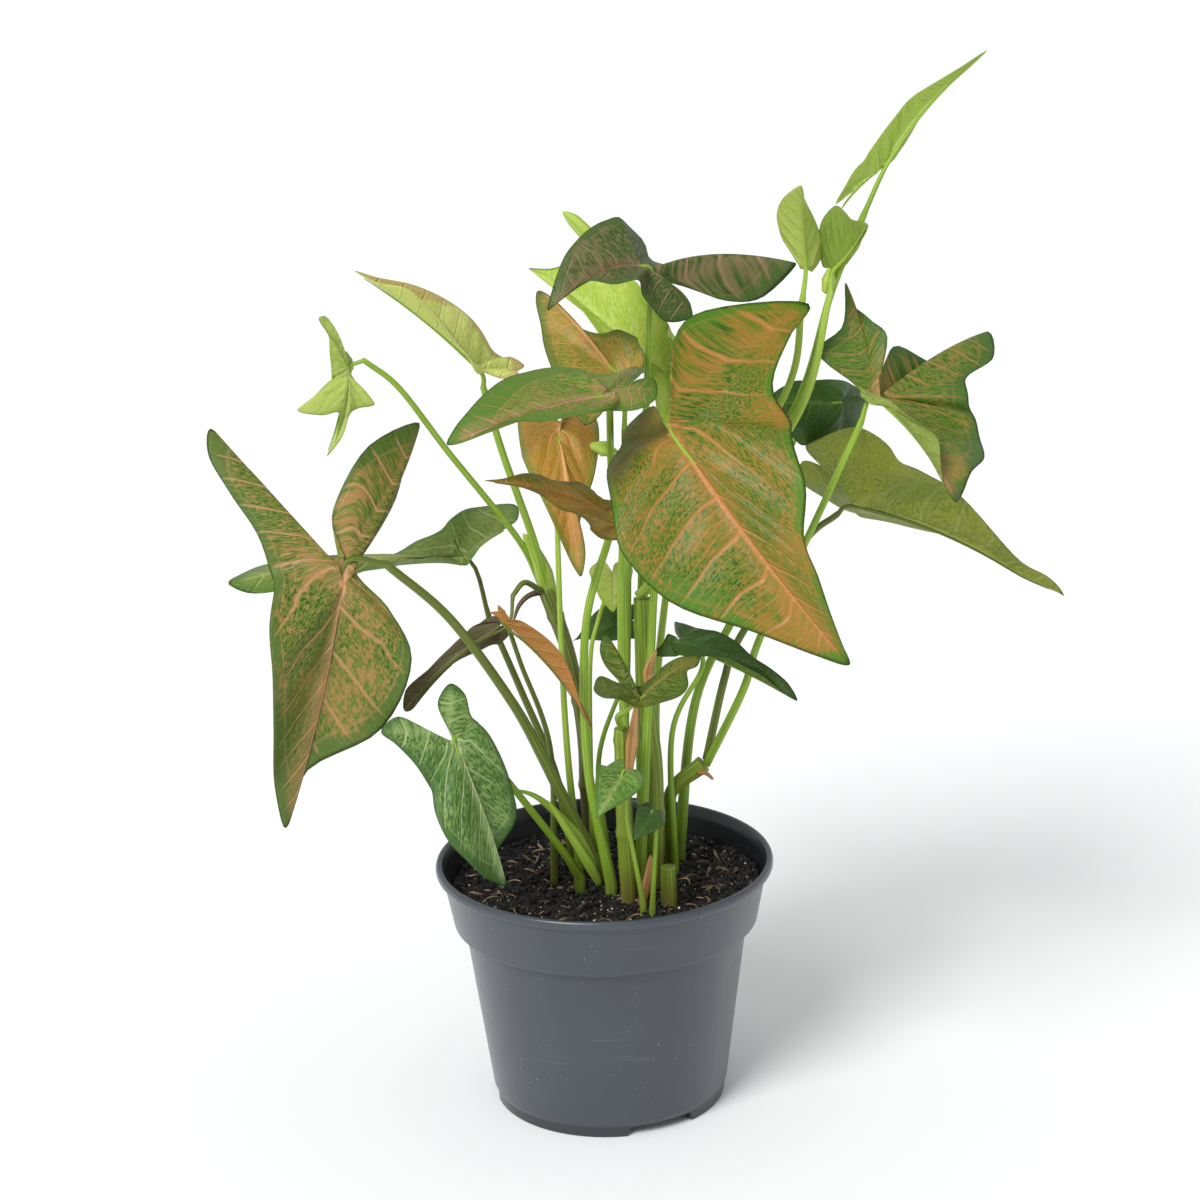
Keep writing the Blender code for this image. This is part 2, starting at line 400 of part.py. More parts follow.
LEAVES = (
    Leaf("front", "arrow", (25, -48, 257), (79, -86, 187), (61, -17, 289), (16, -22, 270),
         ((12, -14), (17, -9, 153), (21, -8, 204), (28, -14, 246), (31, -30, 267)),
         bow=0.10, fold=16, roll=22, ripple=1.6, spokes=26, rings=4),
    Leaf("left_hanging", "eared", (-83, -30, 209), (-106, -48, 122), (-61, 2, 247), (-124, -16, 249),
         ((-2, -3), (-20, -8, 129), (-31, -14, 154), (-50, -22, 186), (-70, -27, 207)),
         girth=1.7, bow=0.10, fold=16, roll=-12, ripple=1.5, spokes=26, rings=4),
    Leaf("rim", "petal", (-49, -42, 150), (-35, -44, 96), (-50, -31, 163), (-70, -47, 157),
         ((-9, -7), (-15, -14, 98), (-30, -26, 125), (-42, -34, 145)),
         fold=8, bow=0.08, spokes=26),
    Leaf("left_back", "petal", (-44, 12, 197), (-125, -9, 197), (-23, 3, 203), (-26, 43, 208),
         ((-11, 13), (-17, 14, 117), (-28, 14, 148), (-38, 13, 175)),
         bow=0.10, fold=14, width=0.9, spokes=24),
    Leaf("drooping", "young", (-31, 0, 177), (-67, -26, 156), (-25, 0, 182), (-25, 5, 174),
         ((-19.7, 15.1, 183.9), (-25, 8, 189), (-29, 3, 186)),
         girth=1.0, width=0.7, fold=25, ripple=1.2),
    Leaf("withered", "young", (-32, -18, 183), (-3, -27, 147), (-36, -14, 186), (-34, -20, 189),
         ((-18, 3), (-18, 2, 130), (-27, -8, 165), (-32, -16, 186)),
         girth=0.9, width=0.75, fold=24, curl=20, ripple=1.0),
    Leaf("furled_left", "young", (-36, -10, 268), (-74, -33, 307), (-24, -11, 266), (-25, 5, 267),
         ((-17.6, 17.1, 184.6), (-22, 12, 205), (-31, 2, 238), (-36, -7, 262)),
         fold=25, curl=20, ripple=0.8, bow=0.06),
    Leaf("nodding", "kite", (-80, -16, 272), (-88, -26, 246), (-78, -10, 277), (-91, -22, 289),
         ((-19.5, 20.2, 184.3), (-27, 15, 203), (-49, 1, 238), (-64, -9, 263), (-75, -14, 274)),
         girth=1.1, fold=20, ripple=0.8),
    Leaf("shelf", "arrow", (7, -54, 269), (-44, -84, 261), (16, -48, 258), (20, -25, 270),
         ((2, -14), (-5, -14, 130), (-4, -13, 180), (6, -11, 215), (6, -13, 236), (6, -44, 264)),
         bow=0.12, width=0.85, fold=14, roll=-14, spokes=26, rings=4),
    Leaf("olive", "arrow", (11, -2, 261), (-16, 30, 285), (1, -22, 255), (21, -8, 265),
         ((7, 4), (8, 4, 125), (10, 4, 166), (11, 3, 200), (11, 0, 244)),
         fold=18, spokes=24),
    Leaf("crown", "arrow", (21, 0, 300), (-14, -16, 291), (36, -4, 285), (62, 14, 292),
         ((14, 12), (14, 12, 144), (16, 11, 195), (18, 6, 240), (21, 3, 290)),
         bow=0.25, fold=0, roll=-16, spokes=26, rings=4),
    Leaf("lime", "arrow", (32, 26, 253), (-19, 62, 288), (24, 4, 241), (43, 6, 260),
         ((20, 20), (20, 24, 139), (26, 28, 189), (31, 27, 233)),
         fold=12, spokes=24),
    Leaf("peach", "arrow", (-12, 14, 242), (-4, -22, 199), (-2, 36, 245), (-27, 34, 244),
         ((-9, 4), (-12, 5, 127), (-13, 8, 169), (-13, 18, 216), (-12, 18, 236)),
         girth=1.0, width=0.8, fold=14),
    Leaf("amber", "arrow", (8, -34, 222), (-36, -58, 242), (15, -34, 214), (19, -22, 217),
         ((9, -9), (8, -10, 150), (8, -20, 188), (9, -31, 214)),
         width=0.7, fold=14),
    Leaf("right", "halberd", (94, -12, 257), (117, -56, 233), (136, 24, 268), (87, 4, 290),
         ((36.9, 4.4, 121.35), (50, 0, 150), (56, -3, 170), (73, -14, 211), (90, -14, 248)),
         fold=14, spokes=26, rings=4),
    Leaf("right_shade", "arrow", (86, 16, 248), (52, 2, 250), (95, 25, 232), (97, 32, 253),
         ((27, 17), (34, 17, 141), (52, 18, 180), (62, 26, 214), (74, 29, 238), (84, 22, 247)),
         fold=20),
    Leaf("lower_right", "arrow", (90, 22, 210), (165, 23, 174), (73, 37, 219), (74, 7, 233),
         ((37.1, 8.4, 121.7), (44, 10, 151), (50, 12, 166), (73, 18, 198), (85, 21, 207)),
         fold=14, spokes=26, rings=4, hook=0.04),
    Leaf("furled_top", "young", (97, -14, 332), (131, -10, 369), (92, -9, 323), (87, -19, 328),
         ((18, 4, 186), (36, 4, 205), (68, -3, 250), (81, -8, 292), (91, -12, 317)),
         width=0.7, fold=30, curl=30, ripple=0.6),
    Leaf("spoon_left", "young", (72, -12, 299), (70, -30, 330), (77, -8, 297), (68, -8, 297),
         ((14, -1, 186), (32, -4, 206), (65, -8, 257), (71, -11, 290)),
         fold=20, curl=20, width=1.1, ripple=0.5),
    Leaf("spoon_right", "young", (81, -14, 299), (90, -33, 319), (81, -13, 293), (77, -8, 299),
         ((16, 1, 186), (39, 0, 205), (70, -10, 252), (80, -13, 292)),
         fold=20, curl=20, width=1.2, ripple=0.5),
    Leaf("boat", "arrow", (12, -50, 164), (37, -36, 170), (0, -40, 180), (-1, -62, 178),
         ((7, -24, 146.1), (6, -36, 154), (9, -47, 160)),
         girth=1.0, fold=25, ripple=0.8),
    Leaf("dark_right", "young", (26, -4, 170), (67, -29, 156), (19, 9, 173), (20, -1, 164),
         ((25, 2), (25, 2, 134), (36, 2, 158), (33, -2, 169)),
         girth=0.9, fold=18, width=0.75),
    Leaf("dark_back", "arrow", (11, 20, 170), (-9, 15, 165), (20, 20, 166), (19, 29, 173),
         ((1, 14), (-1, 14, 121), (9, 22, 148)),
         girth=0.9, fold=14, ripple=0.8),
    Leaf("chartreuse", "arrow", (6, 23, 187), (6, 6, 178), (12, 31, 189), (0, 31, 189),
         ((-4, 10), (-4, 10, 118), (-3, 5, 160), (0, 8, 174), (4, 19, 182)),
         girth=0.8, fold=14, ripple=0.5),
    Leaf("basal", "spade", (8, -40, 136), (-2, -58, 126), (14, -36, 133), (6, -32, 137),
         ((13, -32), (8, -34, 116)),
         girth=0.8, fold=14, ripple=0.5),
    Leaf("basal_dark", "spade", (17, -44, 123), (10, -56, 117), (21, -40, 120), (15, -39, 124),
         ((16, -37), (18, -38, 114)),
         girth=0.8, fold=14, ripple=0.3),
)

# Canes by name: centre points in millimetres, from the soil up, and radii along them
CANES = {
    "cane_left": (((-5, 29), (-6, 27, 105), (-6, 24, 127), (-10, 21, 156), (-18, 18, 184)), (2.8, 2.4, 2.9, 2.6, 3.2)),
    "cane_centre": (((17, -5), (18, -3, 122), (16, 0, 148), (16, 2, 184)), (4.2, 3.4, 3.0, 3.4)),
    "cane_front": (((8, -22), (7, -22, 115), (7, -22, 145)), (3.0, 2.8, 2.6)),
    "cane_right": (((24, 9), (24, 7, 109), (36, 6, 121)), (2.6, 2.4, 3.4)),
    "cane_stub": (((22, -30), (22, -30, 97)), (3.2, 2.8)),
}


def unit(v):
    return v / np.linalg.norm(v, axis=-1, keepdims=True)


def ease(x, low, high):
    """0 below low, 1 above high, and smooth between."""
    t = np.clip((x - low) / (high - low), 0, 1)
    return t * t * (3 - 2 * t)


def round_ring(ring, turn):
    """A Catmull-Rom curve once round a closed ring of points, as turn goes from 0 to 1."""
    place = np.asarray(turn) * len(ring)
    i = np.floor(place).astype(int)
    t = (place - i)[..., None]
    a, b, c, d = (ring[(i + k) % len(ring)] for k in (-1, 0, 1, 2))
    return b + 0.5 * t * (c - a + t * (2 * a - 5 * b + 4 * c - d + t * (3 * b - a - 3 * c + d)))


def margin(kind, turn):
    """The flat blade's edge: turn 0 is the notch, then the left side, 0.5 the tip, and back."""
    half = np.array(OUTLINES[kind], float)
    return round_ring(np.vstack([half, half[-2:0:-1] * (1, -1)]), turn)


def along_rib(start, end, normal, bow, share, aside, scale, fold, curl):
    """Where a blade point lies that is share of the way along a rib and aside of it.

    The rib is an arc from start to end, bowed towards normal. Across it the blade rises by
    the angle fold, which grows by curl towards the margin.
    """
    length = np.linalg.norm(end - start)
    middle = (start + end) / 2 + normal * bow * length
    a = np.clip(share, 0, 1)[..., None]
    point = (1 - a) ** 2 * start + 2 * a * (1 - a) * middle + a**2 * end
    ahead = unit((1 - a) * (middle - start) + a * (end - middle))
    point = point + ahead * (share[..., None] - a) * length
    side = unit(np.cross(normal, ahead))
    up = np.cross(ahead, side)
    rate = math.radians(curl) / HALF_BLADE + 1e-4
    angle = math.radians(fold)
    out = (np.sin(angle + rate * abs(aside)) - math.sin(angle)) / rate * np.sign(aside)
    rise = (math.cos(angle) - np.cos(angle + rate * abs(aside))) / rate
    return point + (side * out[..., None] + up * rise[..., None]) * scale, up


def facing(leaf):
    """Which way the upper face looks, from the places of the tip and the lobes, and the roll."""
    joint, tip, left, right = (np.array(p, float) for p in (leaf.joint, leaf.tip, leaf.left, leaf.right))
    face = unit(np.cross(tip - joint, left - right))
    aside = np.cross(face, unit(tip - joint))
    return face * math.cos(math.radians(leaf.roll)) - aside * math.sin(math.radians(leaf.roll))


def ribbed_points(leaf, turn, reach):
    """The blade's surface before its margin is set.

    Three ribs carry the flat blade: the midrib, and one into each lobe. A point follows the
    midrib ahead of the petiole and its lobe's rib behind it, and blends between them. The
    margin waves up and down, and the tip may hook up.
    """
    joint, tip, left, right = (np.array(p) * MM for p in (leaf.joint, leaf.tip, leaf.left, leaf.right))
    edge = margin(leaf.kind, turn) * (1, leaf.width)
    x, y = HEART + (edge[..., 0] - HEART) * reach, edge[..., 1] * reach
    length = np.linalg.norm(tip - joint)
    face = facing(leaf)
    place, up = along_rib(joint, tip, face, leaf.bow, x, y, length, leaf.fold, leaf.curl)

    def on_lobe(end, hand):
        rib = np.array(OUTLINES[leaf.kind][LOBE_POINT]) * (1, hand * leaf.width)
        size = np.linalg.norm(rib)
        normal = unit(face + unit(np.cross(tip - joint, end - joint) * hand))
        ahead = (x * rib[0] + y * rib[1]) / size**2
        aside = (y * rib[0] - x * rib[1]) / size
        scale = math.sqrt(np.linalg.norm(end - joint) / size * length)
        return along_rib(joint, end, normal, leaf.bow, ahead, aside, scale, leaf.fold / 2, leaf.curl)[0]

    around = np.arctan2(y, x) % math.tau
    on_left = 1 - ease(around, math.pi - SINUS_HALF, math.pi + SINUS_HALF)[..., None]
    lobes = on_left * on_lobe(left, 1) + (1 - on_left) * on_lobe(right, -1)
    behind = ease(np.minimum(around, math.tau - around), LOBE_START, LOBE_FULL)[..., None]
    wave = leaf.ripple * MM * reach**2 * np.sin(math.tau * leaf.waves * turn)
    lift = wave + leaf.hook * length * ease(x, 0.7, 1) ** 2
    return place + behind * (lobes - place) + up * lift[..., None]


def blade_points(leaf, turn, reach):
    """The blade's surface: turn goes round the margin and reach from the petiole to it.

    The ribbed surface is moved, by more and more from the petiole out, so that its margin
    passes through the leaf's own places in MARGINS.
    """
    place = ribbed_points(leaf, turn, reach)
    if leaf.name in MARGINS:
        ring = np.array(MARGINS[leaf.name]) * MM
        ring = ring - ribbed_points(leaf, np.arange(len(ring)) / len(ring), np.ones(len(ring)))
        place = place + round_ring(ring, turn) * np.asarray(reach)[..., None]
    return place


def blade(leaf, group):
    """The blade as a sheet of triangles round the petiole, thickened evenly to both sides."""
    turn, reach = np.meshgrid(
        np.arange(leaf.spokes) / leaf.spokes, np.arange(1, leaf.rings + 1) / leaf.rings, indexing="ij"
    )
    points = blade_points(leaf, turn, reach).reshape(-1, 3)
    faces = []
    for i in range(leaf.spokes):
        here, beside = i * leaf.rings + 1, (i + 1) % leaf.spokes * leaf.rings + 1
        faces.append((0, beside, here))
        for k in range(leaf.rings - 1):
            faces.append((here + k, beside + k, beside + k + 1))
            faces.append((here + k, beside + k + 1, here + k + 1))
    mesh = bpy.data.meshes.new(leaf.name)
    mesh.from_pydata([blade_points(leaf, np.array(0.5), np.array(0.0)), *points], [], faces)
    sheet = new_object("sheet", mesh, group)
    thick = sheet.modifiers.new("Thickness", "SOLIDIFY")
    thick.thickness = BLADE_THICKNESS
    thick.offset = 0
    made = new_object("leaf_" + leaf.name, evaluated_mesh(sheet), group)
    bpy.data.objects.remove(sheet)
    return made


def stalk(points, steps=2):
    """A petiole's or cane's centre line. A first point of x and y alone is a foot in the soil."""
    if len(points[0]) == 3:
        return smooth_path(np.array(points, float) * MM, steps)
    foot = np.array(points[0], float) * MM
    up = [np.append(foot, CLEAR_HEIGHT), *(np.array(points[1:], float) * MM)]
    return np.vstack([np.append(foot, FOOT_DEPTH), smooth_path(up, steps)])


def add_leaf(leaf, group, joining, finish):
    """One leaf: its blade, and its petiole, which runs on under the blade as a tapering midrib."""
    made = blade(leaf, group)
    rib = blade_points(leaf, np.full(1, 0.5), np.array([0.1])) - facing(leaf) * BLADE_THICKNESS / 2
    path = np.vstack([stalk(leaf.petiole), rib])
    tube("petiole", path, (leaf.girth * MM, leaf.girth * MM * 0.8, 0.5 * MM), joining)
    boolean(made, "UNION", joining)
    paint(made, finish)


def vessel_profile():
    """Half of the pot's section, from the inner floor's centre, up, over the lip and down."""
    outer = [
        *((RIM_RADIUS - inward, POT_HEIGHT - down) for inward, down in LIP),
        (COLLAR_TOP_RADIUS, POT_HEIGHT - LIP_FOOT),
        (COLLAR_LOW_RADIUS, COLLAR_LOW_HEIGHT),
        (BODY_TOP_RADIUS, COLLAR_LOW_HEIGHT - SHOULDER),
        (BODY_LOW_RADIUS, FOOT_HEIGHT + SHOULDER),
        (FOOT_RADIUS, FOOT_HEIGHT),
        (FOOT_RADIUS, 0),
    ]
    under = [
        (FOOT_RADIUS - FOOT_WALL, 0),
        (FOOT_RADIUS - FOOT_WALL, FOOT_HEIGHT),
        (PAD_RADIUS + PAD_SLOPE, FOOT_HEIGHT),
        (PAD_RADIUS, 0),
        (0, 0),
    ]
    return [*inner_profile(0), *outer, *under]


def inner_profile(gap):
    """The pot's inner face from the floor's centre to the lip, or gap inside it."""
    floor = FOOT_HEIGHT + WALL + gap
    return [
        (0, WALL + gap),
        (PAD_RADIUS - PAD_SLOPE / 4 - gap, WALL + gap),
        (PAD_RADIUS + PAD_SLOPE * 3 / 4 - gap, floor),
        (BODY_LOW_RADIUS - WALL - gap, floor),
        (BODY_TOP_RADIUS - WALL - gap, COLLAR_LOW_HEIGHT - INSIDE_SHOULDER[0] + gap),
        (COLLAR_LOW_RADIUS - WALL - gap, COLLAR_LOW_HEIGHT + INSIDE_SHOULDER[1] + gap),
        (COLLAR_TOP_RADIUS - WALL - gap, POT_HEIGHT - INSIDE_TOP),
        (RIM_RADIUS - LIP_INSIDE[0] - gap, POT_HEIGHT - LIP_INSIDE[1]),
    ]


def turned(name, profile, steps, group):
    """A solid of revolution about +Z from a profile of radius and height."""
    mesh = bpy.data.meshes.new(name)
    count = len(profile)
    mesh.from_pydata([(r, 0, z) for r, z in profile], [(i, i + 1) for i in range(count - 1)], [])
    half = new_object(name + "_profile", mesh, group)
    spin = half.modifiers.new("Spin", "SCREW")
    spin.steps = spin.render_steps = steps
    spin.use_merge_vertices = True
    spin.merge_threshold = AXIS_WELD
    made = new_object(name, evaluated_mesh(half), group)
    bpy.data.objects.remove(half)
    return made


def cylinder_cutter(place, radius, low, high, cutters, sides=12):
    shape = bmesh.new()
    bmesh.ops.create_cone(shape, cap_ends=True, segments=sides, radius1=radius, radius2=radius, depth=high - low)
    bmesh.ops.translate(shape, vec=(*place, (low + high) / 2), verts=shape.verts)
    mesh = bpy.data.meshes.new("hole")
    shape.to_mesh(mesh)
    shape.free()
    return as_cutter(new_object("hole", mesh, cutters))


def as_cutter(thing):
    thing.hide_render = True
    thing.display_type = "WIRE"
    return thing


def add_pot(group, cutters, finish):
    """The moulded pot, with drain holes in its raised floor and notches in its foot."""
    pot = turned("pot", vessel_profile(), POT_SIDES, group)
    for i in range(DRAIN_HOLES):
        turn = math.tau * i / DRAIN_HOLES
        place = (DRAIN_CIRCLE * math.cos(turn), DRAIN_CIRCLE * math.sin(turn))
        cylinder_cutter(place, DRAIN_RADIUS, FOOT_HEIGHT - DRAIN_CUT, FOOT_HEIGHT + DRAIN_CUT, cutters)
    for i in range(NOTCHES):
        shape = bmesh.new()
        bmesh.ops.create_cube(shape, size=1)
        bmesh.ops.scale(shape, vec=(NOTCH_DEPTH, NOTCH_WIDTH, 2 * NOTCH_HEIGHT), verts=shape.verts)
        mesh = bpy.data.meshes.new("notch")
        shape.to_mesh(mesh)
        shape.free()
        notch = as_cutter(new_object("notch", mesh, cutters))
        turn = NOTCH_TURN + math.tau * i / NOTCHES
        notch.location = (FOOT_RADIUS * math.cos(turn), FOOT_RADIUS * math.sin(turn), 0)
        notch.rotation_euler.z = turn
    boolean(pot, "DIFFERENCE", cutters)
    pot.data.shade_smooth()
    pot.data.set_sharp_from_angle(angle=POT_CREASE)
    paint(pot, finish)


def soil_height(x, y):
    """The lumpy top of the potting soil: a few crossing waves, lower to the back left."""
    (across, phase, along, start), (slant_x, slant_y) = SOIL_WAVES
    lumps = np.sin(across * x + phase) * np.sin(along * y + start) + 0.6 * np.sin(slant_x * x - slant_y * y)
    return SOIL_LEVEL + SOIL_LUMPS * (0.5 * lumps + SOIL_SLOPE * (x - y))


def add_soil(group, cutters, finish, feet):
    """The root ball: a turned plug 0.3 mm inside the pot, with a lumpy top and a hole for each stalk."""
    wall = inner_profile(GAP)[:6]
    edge = COLLAR_LOW_RADIUS - WALL - GAP + SOIL_EDGE
    rings = [(edge - SOIL_RING_STEP * k, SOIL_LEVEL) for k in range(SOIL_RINGS)]
    profile = [(0, SOIL_LEVEL), *rings[::-1], *wall[::-1]]
    soil = turned("soil", profile, POT_SIDES // 2, group)
    for vertex in soil.data.vertices:
        if vertex.co.z > SOIL_LEVEL - 1 * MM:
            vertex.co.z = soil_height(vertex.co.x, vertex.co.y)
    for (x, y), radius in feet:
        cylinder_cutter((x * MM, y * MM), radius * MM + GAP, FOOT_DEPTH - GAP, CLEAR_HEIGHT + 5 * MM, cutters, 8)
    boolean(soil, "DIFFERENCE", cutters)
    paint(soil, finish)


for thing in list(bpy.data.objects):
    bpy.data.objects.remove(thing)

PLANT = collection("arrowhead_plant")
CUTTERS = collection("cutters")

PLASTIC = material("pot_plastic", (0.09, 0.10, 0.12), 0.42)
SOIL = material("soil", (0.025, 0.02, 0.015), 0.9)
BLADE = material("leaf", (0.16, 0.28, 0.05), 0.5)
YOUNG = material("young_leaf", (0.38, 0.55, 0.12), 0.5)
CANE = material("cane", (0.20, 0.30, 0.06), 0.5)
YOUNG_LEAVES = ("furled_left", "nodding", "lime", "furled_top", "spoon_left", "spoon_right", "chartreuse")

add_pot(PLANT, CUTTERS, PLASTIC)
FEET = [(leaf.petiole[0], leaf.girth) for leaf in LEAVES if len(leaf.petiole[0]) == 2]
FEET += [(points[0], radii[0]) for points, radii in CANES.values() if len(points[0]) == 2]
add_soil(PLANT, CUTTERS, SOIL, FEET)
for name, (points, radii) in CANES.items():
    paint(tube(name, stalk(points), np.array(radii) * MM, PLANT, sides=8), CANE)
for leaf in LEAVES:
    add_leaf(leaf, PLANT, CUTTERS, YOUNG if leaf.name in YOUNG_LEAVES else BLADE)
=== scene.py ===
"""The arrowhead plant's portrait: every leaf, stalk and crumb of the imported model, finished.

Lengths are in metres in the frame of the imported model, except in the lists of places, which are
in millimetres and are multiplied by MM. Colours are written as sRGB out of 255.
"""

import math
from dataclasses import dataclass

import bpy
import numpy as np
from mathutils import Matrix


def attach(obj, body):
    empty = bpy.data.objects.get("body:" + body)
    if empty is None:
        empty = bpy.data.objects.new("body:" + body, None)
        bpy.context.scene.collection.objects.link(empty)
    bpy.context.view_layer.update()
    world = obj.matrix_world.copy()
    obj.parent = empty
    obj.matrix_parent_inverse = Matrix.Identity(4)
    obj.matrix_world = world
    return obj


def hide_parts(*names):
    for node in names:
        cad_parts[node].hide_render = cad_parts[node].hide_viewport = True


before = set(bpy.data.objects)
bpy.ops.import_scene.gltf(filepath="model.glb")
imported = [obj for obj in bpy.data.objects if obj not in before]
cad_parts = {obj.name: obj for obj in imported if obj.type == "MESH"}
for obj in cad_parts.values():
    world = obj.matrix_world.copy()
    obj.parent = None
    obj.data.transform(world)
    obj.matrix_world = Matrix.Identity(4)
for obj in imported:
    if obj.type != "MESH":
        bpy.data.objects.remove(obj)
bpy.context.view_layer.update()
MM = 0.001


# The pot is a thin moulded nursery pot in slate-grey plastic, with a bead round its lip, a
# straight collar that stacks, and a foot ring with notches that let water out on a shelf.
# The plastic is satin, a little dusty, and scuffed where the pots were stacked. Its inside is a
# copy of the plastic darkened with painted shade, and painted shade darkens its foot ring.

RIM_RADIUS = 60.0 * MM
POT_HEIGHT = 89.3 * MM
COLLAR_TOP_RADIUS = 57.6 * MM
COLLAR_LOW_RADIUS = 54.0 * MM
COLLAR_LOW_HEIGHT = 67.0 * MM
BODY_TOP_RADIUS = 50.3 * MM
BODY_LOW_RADIUS = 42.2 * MM
SHOULDER = 1.2 * MM
FOOT_RADIUS = 41.3 * MM
FOOT_HEIGHT = 4.0 * MM
FOOT_WALL = 1.8 * MM
WALL = 1.2 * MM
PAD_RADIUS = 14.0 * MM
PAD_SLOPE = 2.0 * MM
POT_MIDDLE = 1.0 * MM  # the radius where the profile gives way to a fan
POT_ROUNDING = 0.7 * MM
ROUNDING_STEPS = 4
POT_SIDES = 240
# The lip from its foot over its crest, in millimetres in from the rim and down from the top
LIP = ((0.3, 3.1), (0, 1.6), (0.5, 0), (2.2, 0))
LIP_FOOT = 3.6 * MM
INSIDE_TOP = 3.4 * MM
INSIDE_SHOULDER = (1.0 * MM, 0.6 * MM)
INSIDE_SLOPE = (1.5 * MM, 0.5 * MM)
NOTCHES = 3
NOTCH_HALF_WIDTH = 12.5 * MM
NOTCH_RISE = 3.5 * MM
NOTCH_SIDE = 1.2 * MM
NOTCH_REACH = 3.0 * MM  # how far in from the foot's outside a notch lifts it
NOTCH_TURN = math.radians(-64.5)
# The outside's tones: two that cloud into each other, then the foot ring's, which is painted shade. The
# inside's tones are all darker, as painted shade.
OUTSIDE_TONES = ((54, 59, 67), (66, 71, 80), (27, 29, 34))
SHADED_INSIDE_TONES = ((22, 24, 27), (30, 32, 36), (20, 21, 24))
SCUFFED = (120, 124, 132)
DUST = (176, 178, 182)


def linear(colour):
    """An sRGB colour out of 255 as the linear light that a shader wants."""
    c = np.array(colour, float) / 255
    return tuple(np.where(c > 0.04045, ((c + 0.055) / 1.055) ** 2.4, c / 12.92))


class Wire:
    """An output socket of a material. Operators on wires and numbers add the Math nodes."""

    def __init__(self, socket):
        self.socket = socket

    def node(self, kind, settings=None, out=0, **sockets):
        """A node of this kind, its settings first, then what its sockets hold or are linked to.

        A socket is named by its identifier, with an underscore for a space, or s0, s1 by place.
        """
        tree = self.socket.id_data
        made = tree.nodes.new(kind)
        for key, value in (settings or {}).items():
            setattr(made, key, value)
        for key, value in sockets.items():
            if key[0] == "s" and key[1:].isdigit():
                target = made.inputs[int(key[1:])]
            else:
                target = next(s for s in made.inputs if s.identifier.replace(" ", "_") == key)
            if isinstance(value, Wire):
                tree.links.new(value.socket, target)
            else:
                target.default_value = value
        return Wire(made.outputs[out])

    def math(self, operation, *others):
        """A Math node on this wire and the others."""
        values = {f"s{i}": value for i, value in enumerate((self, *others))}
        return self.node("ShaderNodeMath", {"operation": operation}, **values)

    def __add__(self, other):
        return self.math("ADD", other)

    __radd__ = __add__

    def __sub__(self, other):
        return self.math("SUBTRACT", other)

    def __rsub__(self, other):
        return self.math("MULTIPLY_ADD", -1.0, other)

    def __mul__(self, other):
        return self.math("MULTIPLY", other)

    __rmul__ = __mul__

    def __truediv__(self, other):
        return self.math("DIVIDE", other)

    def __abs__(self):
        return self.math("ABSOLUTE")

    def most(self, limit):
        """This wire where it is below the limit, and else the limit."""
        return self.math("MINIMUM", limit)

    def ramp(self, low, high):
        """0 below low, 1 above high and smooth between; it falls where low is above high."""
        if low > high:
            return 1 - self.ramp(high, low)
        smooth = {"interpolation_type": "SMOOTHSTEP"}
        return self.node("ShaderNodeMapRange", smooth, Value=self, From_Min=low, From_Max=high)

    def blend(self, first, second):
        """The colour first where this wire is 0, second where it is 1."""
        ends = {"A_Color": first, "B_Color": second}
        for key, value in ends.items():
            ends[key] = value if isinstance(value, Wire) else (*linear(value), 1)
        return self.node("ShaderNodeMix", {"data_type": "RGBA"}, 2, Factor_Float=self, **ends)

    def noise(self, scale, detail=3.0, roughness=0.55):
        """Cloudy noise from 0 to 1 over this vector."""
        how = {"Scale": scale, "Detail": detail, "Roughness": roughness}
        return self.node("ShaderNodeTexNoise", Vector=self, **how)

    def parts(self):
        """The three numbers of a vector."""
        split = self.node("ShaderNodeSeparateXYZ", s0=self).socket.node
        return [Wire(out) for out in split.outputs]


def joined(x, y, z=0.0):
    """A vector from numbers and wires, x being a wire."""
    return x.node("ShaderNodeCombineXYZ", X=x, Y=y, Z=z)


def new_material(name, roughness, **fixed):
    """A material, its shader, and its Texture Coordinate node's Object and UV wires."""
    made = bpy.data.materials.new(name)
    made.use_nodes = True
    tree = made.node_tree
    shader = tree.nodes["Principled BSDF"]
    shader.inputs["Roughness"].default_value = roughness
    for key, value in fixed.items():
        shader.inputs[key.replace("_", " ")].default_value = value
    places = tree.nodes.new("ShaderNodeTexCoord")
    return made, shader, Wire(places.outputs["Object"]), Wire(places.outputs["UV"])


def feed(shader, colour, roughness=None, height=None, depth=0, strength=0.6):
    """Links a colour, a roughness and a height, which goes through a Bump node, to a shader."""
    tree = shader.id_data
    tree.links.new(colour.socket, shader.inputs["Base Color"])
    if roughness:
        tree.links.new(roughness.socket, shader.inputs["Roughness"])
    if height:
        bump = height.node("ShaderNodeBump", Height=height, Distance=depth, Strength=strength)
        tree.links.new(bump.socket, shader.inputs["Normal"])


def placed(name, data):
    """A new object that holds this data, linked to the scene."""
    made = bpy.data.objects.new(name, data)
    bpy.context.scene.collection.objects.link(made)
    return made


